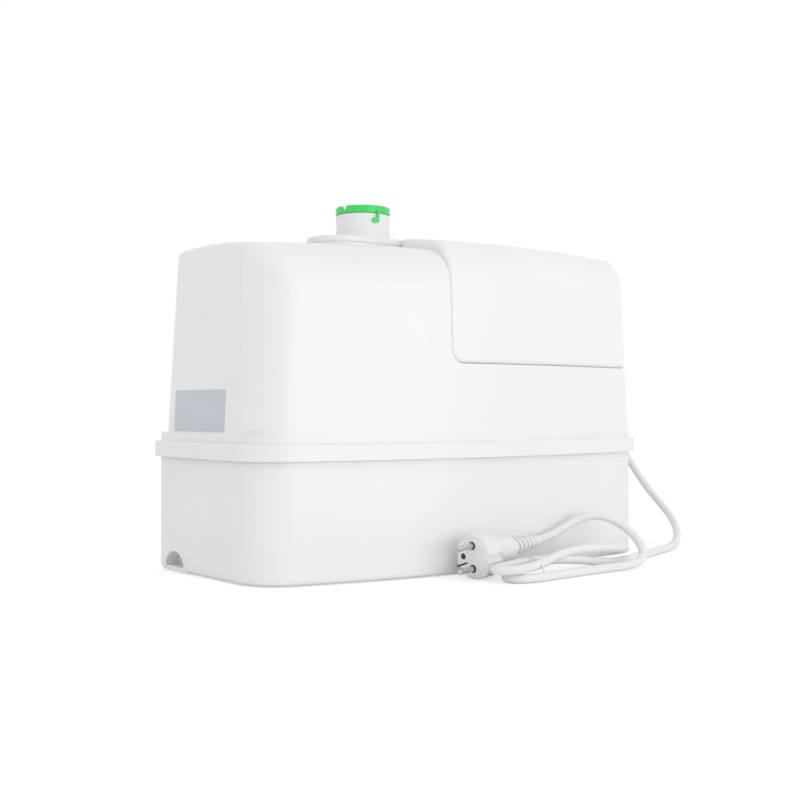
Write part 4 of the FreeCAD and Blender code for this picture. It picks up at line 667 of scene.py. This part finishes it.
def spigot_thread():
    """One rib that climbs round the spigot and runs out at both ends."""
    bm = bmesh.new()
    profile = [(-THREAD_SUNK, -0.8), (THREAD_RISE, -0.25), (THREAD_RISE, 0.25), (-THREAD_SUNK, 0.8)]
    total = int(THREAD_TURNS * THREAD_STEPS)
    rows = []
    for i in range(total + 1):
        angle = 2 * math.pi * i / THREAD_STEPS
        fade = min(1.0, i / RUN_OUT_STEPS, (total - i) / RUN_OUT_STEPS)
        width = RUN_OUT_WIDTH + (1 - RUN_OUT_WIDTH) * fade
        row = []
        for rise, offset in profile:
            r = SPIGOT_RADIUS - THREAD_SUNK + (rise + THREAD_SUNK) * fade
            z = THREAD_Z + THREAD_PITCH * i / THREAD_STEPS + offset * width
            x, y = SPIGOT_X + r * math.cos(angle), SPIGOT_Y + r * math.sin(angle)
            row.append(bm.verts.new((x * MM, y * MM, z * MM)))
        rows.append(row)
    for a, b in zip(rows, rows[1:]):
        for j in range(len(profile)):
            k = (j + 1) % len(profile)
            bm.faces.new([a[j], a[k], b[k], b[j]])
    bm.faces.new(rows[0])
    bm.faces.new(list(reversed(rows[-1])))
    return mesh_object("spigot_thread", bm)


finished(spigot_thread(), "station", materials["white_fitting"])


# Floor, backdrop and light

FLOOR_HALF = 6.0
FLOOR_GLOW = 1.36
FLOOR_GLOW_SHARE = 0.42
SKY_LIGHT = 0.80
SKY_SEEN = 1.0
WHITE_LIGHT = (1, 1, 1, 1)


def floor():
    """Matt floor that the camera sees partly as a plain glow, so it stays white and its shadows light."""
    data = bpy.data.meshes.new("floor")
    corners = [(x * FLOOR_HALF, y * FLOOR_HALF, 0) for x, y in ((-1, -1), (1, -1), (1, 1), (-1, 1))]
    data.from_pydata(corners, [], [(0, 1, 2, 3)])
    obj = link(bpy.data.objects.new("floor", data))
    m = Nodes("floor")
    m.set(level=0.0, rough=1.0, color=(0.95, 0.95, 0.95, 1))
    path = m.add("ShaderNodeLightPath")
    glow = m.add("ShaderNodeEmission")
    glow.inputs["Color"].default_value = WHITE_LIGHT
    glow.inputs["Strength"].default_value = FLOOR_GLOW
    mix = m.add("ShaderNodeMixShader")
    glow_share = m.add("ShaderNodeMath", operation="MULTIPLY")
    glow_share.inputs[1].default_value = FLOOR_GLOW_SHARE
    m.wire(path.outputs["Is Camera Ray"], glow_share.inputs[0])
    m.wire(glow_share.outputs["Value"], mix.inputs["Fac"])
    m.wire(m.shader.outputs["BSDF"], mix.inputs[1])
    m.wire(glow.outputs["Emission"], mix.inputs[2])
    output = m.tree.nodes["Material Output"]
    m.wire(mix.outputs["Shader"], output.inputs["Surface"])
    data.materials.append(m.material)


def world():
    """White all round, a little dimmer as light than as the camera and reflections see it."""
    scene.world = bpy.data.worlds.new("studio")
    scene.world.use_nodes = True
    tree = scene.world.node_tree
    light = tree.nodes["Background"]
    seen = tree.nodes.new("ShaderNodeBackground")
    for background, strength in ((light, SKY_LIGHT), (seen, SKY_SEEN)):
        background.inputs["Color"].default_value = WHITE_LIGHT
        background.inputs["Strength"].default_value = strength
    path = tree.nodes.new("ShaderNodeLightPath")
    mirrored = tree.nodes.new("ShaderNodeMath")
    direct = tree.nodes.new("ShaderNodeMath")
    mirrored.operation = direct.operation = "MAXIMUM"
    mix = tree.nodes.new("ShaderNodeMixShader")
    for source, target in (
        (path.outputs["Is Glossy Ray"], mirrored.inputs[0]),
        (path.outputs["Is Transmission Ray"], mirrored.inputs[1]),
        (path.outputs["Is Camera Ray"], direct.inputs[0]),
        (mirrored.outputs["Value"], direct.inputs[1]),
        (direct.outputs["Value"], mix.inputs["Fac"]),
        (light.outputs["Background"], mix.inputs[1]),
        (seen.outputs["Background"], mix.inputs[2]),
        (mix.outputs["Shader"], tree.nodes["World Output"].inputs["Surface"]),
    ):
        tree.links.new(source, target)


def lamp(name, place, aim, size, power):
    """Soft rectangular lamp that the camera doesn't see."""
    data = bpy.data.lights.new(name, "AREA")
    data.shape = "RECTANGLE"
    data.size, data.size_y = size
    data.energy = power
    obj = link(bpy.data.objects.new(name, data))
    obj.location = place
    obj.rotation_mode = "QUATERNION"
    obj.rotation_quaternion = (Vector(aim) - Vector(place)).to_track_quat("-Z", "Y")
    obj.visible_camera = False


floor()
world()
lamp("key", (0.3, -1.9, 1.5), (0.0, 0.0, 0.15), (1.4, 1.4), 2.0)
lamp("low_front", (0.35, -2.1, 0.30), (0.05, -0.1, 0.08), (1.8, 0.7), 8.2)
lamp("side", (-1.8, 0.1, 1.0), (-0.1, 0.0, 0.15), (1.2, 1.2), 1.0)
lamp("top", (0.0, 0.2, 2.2), (0.0, 0.0, 0.2), (1.6, 1.6), 0.5)

scene.view_settings.view_transform = "Standard"
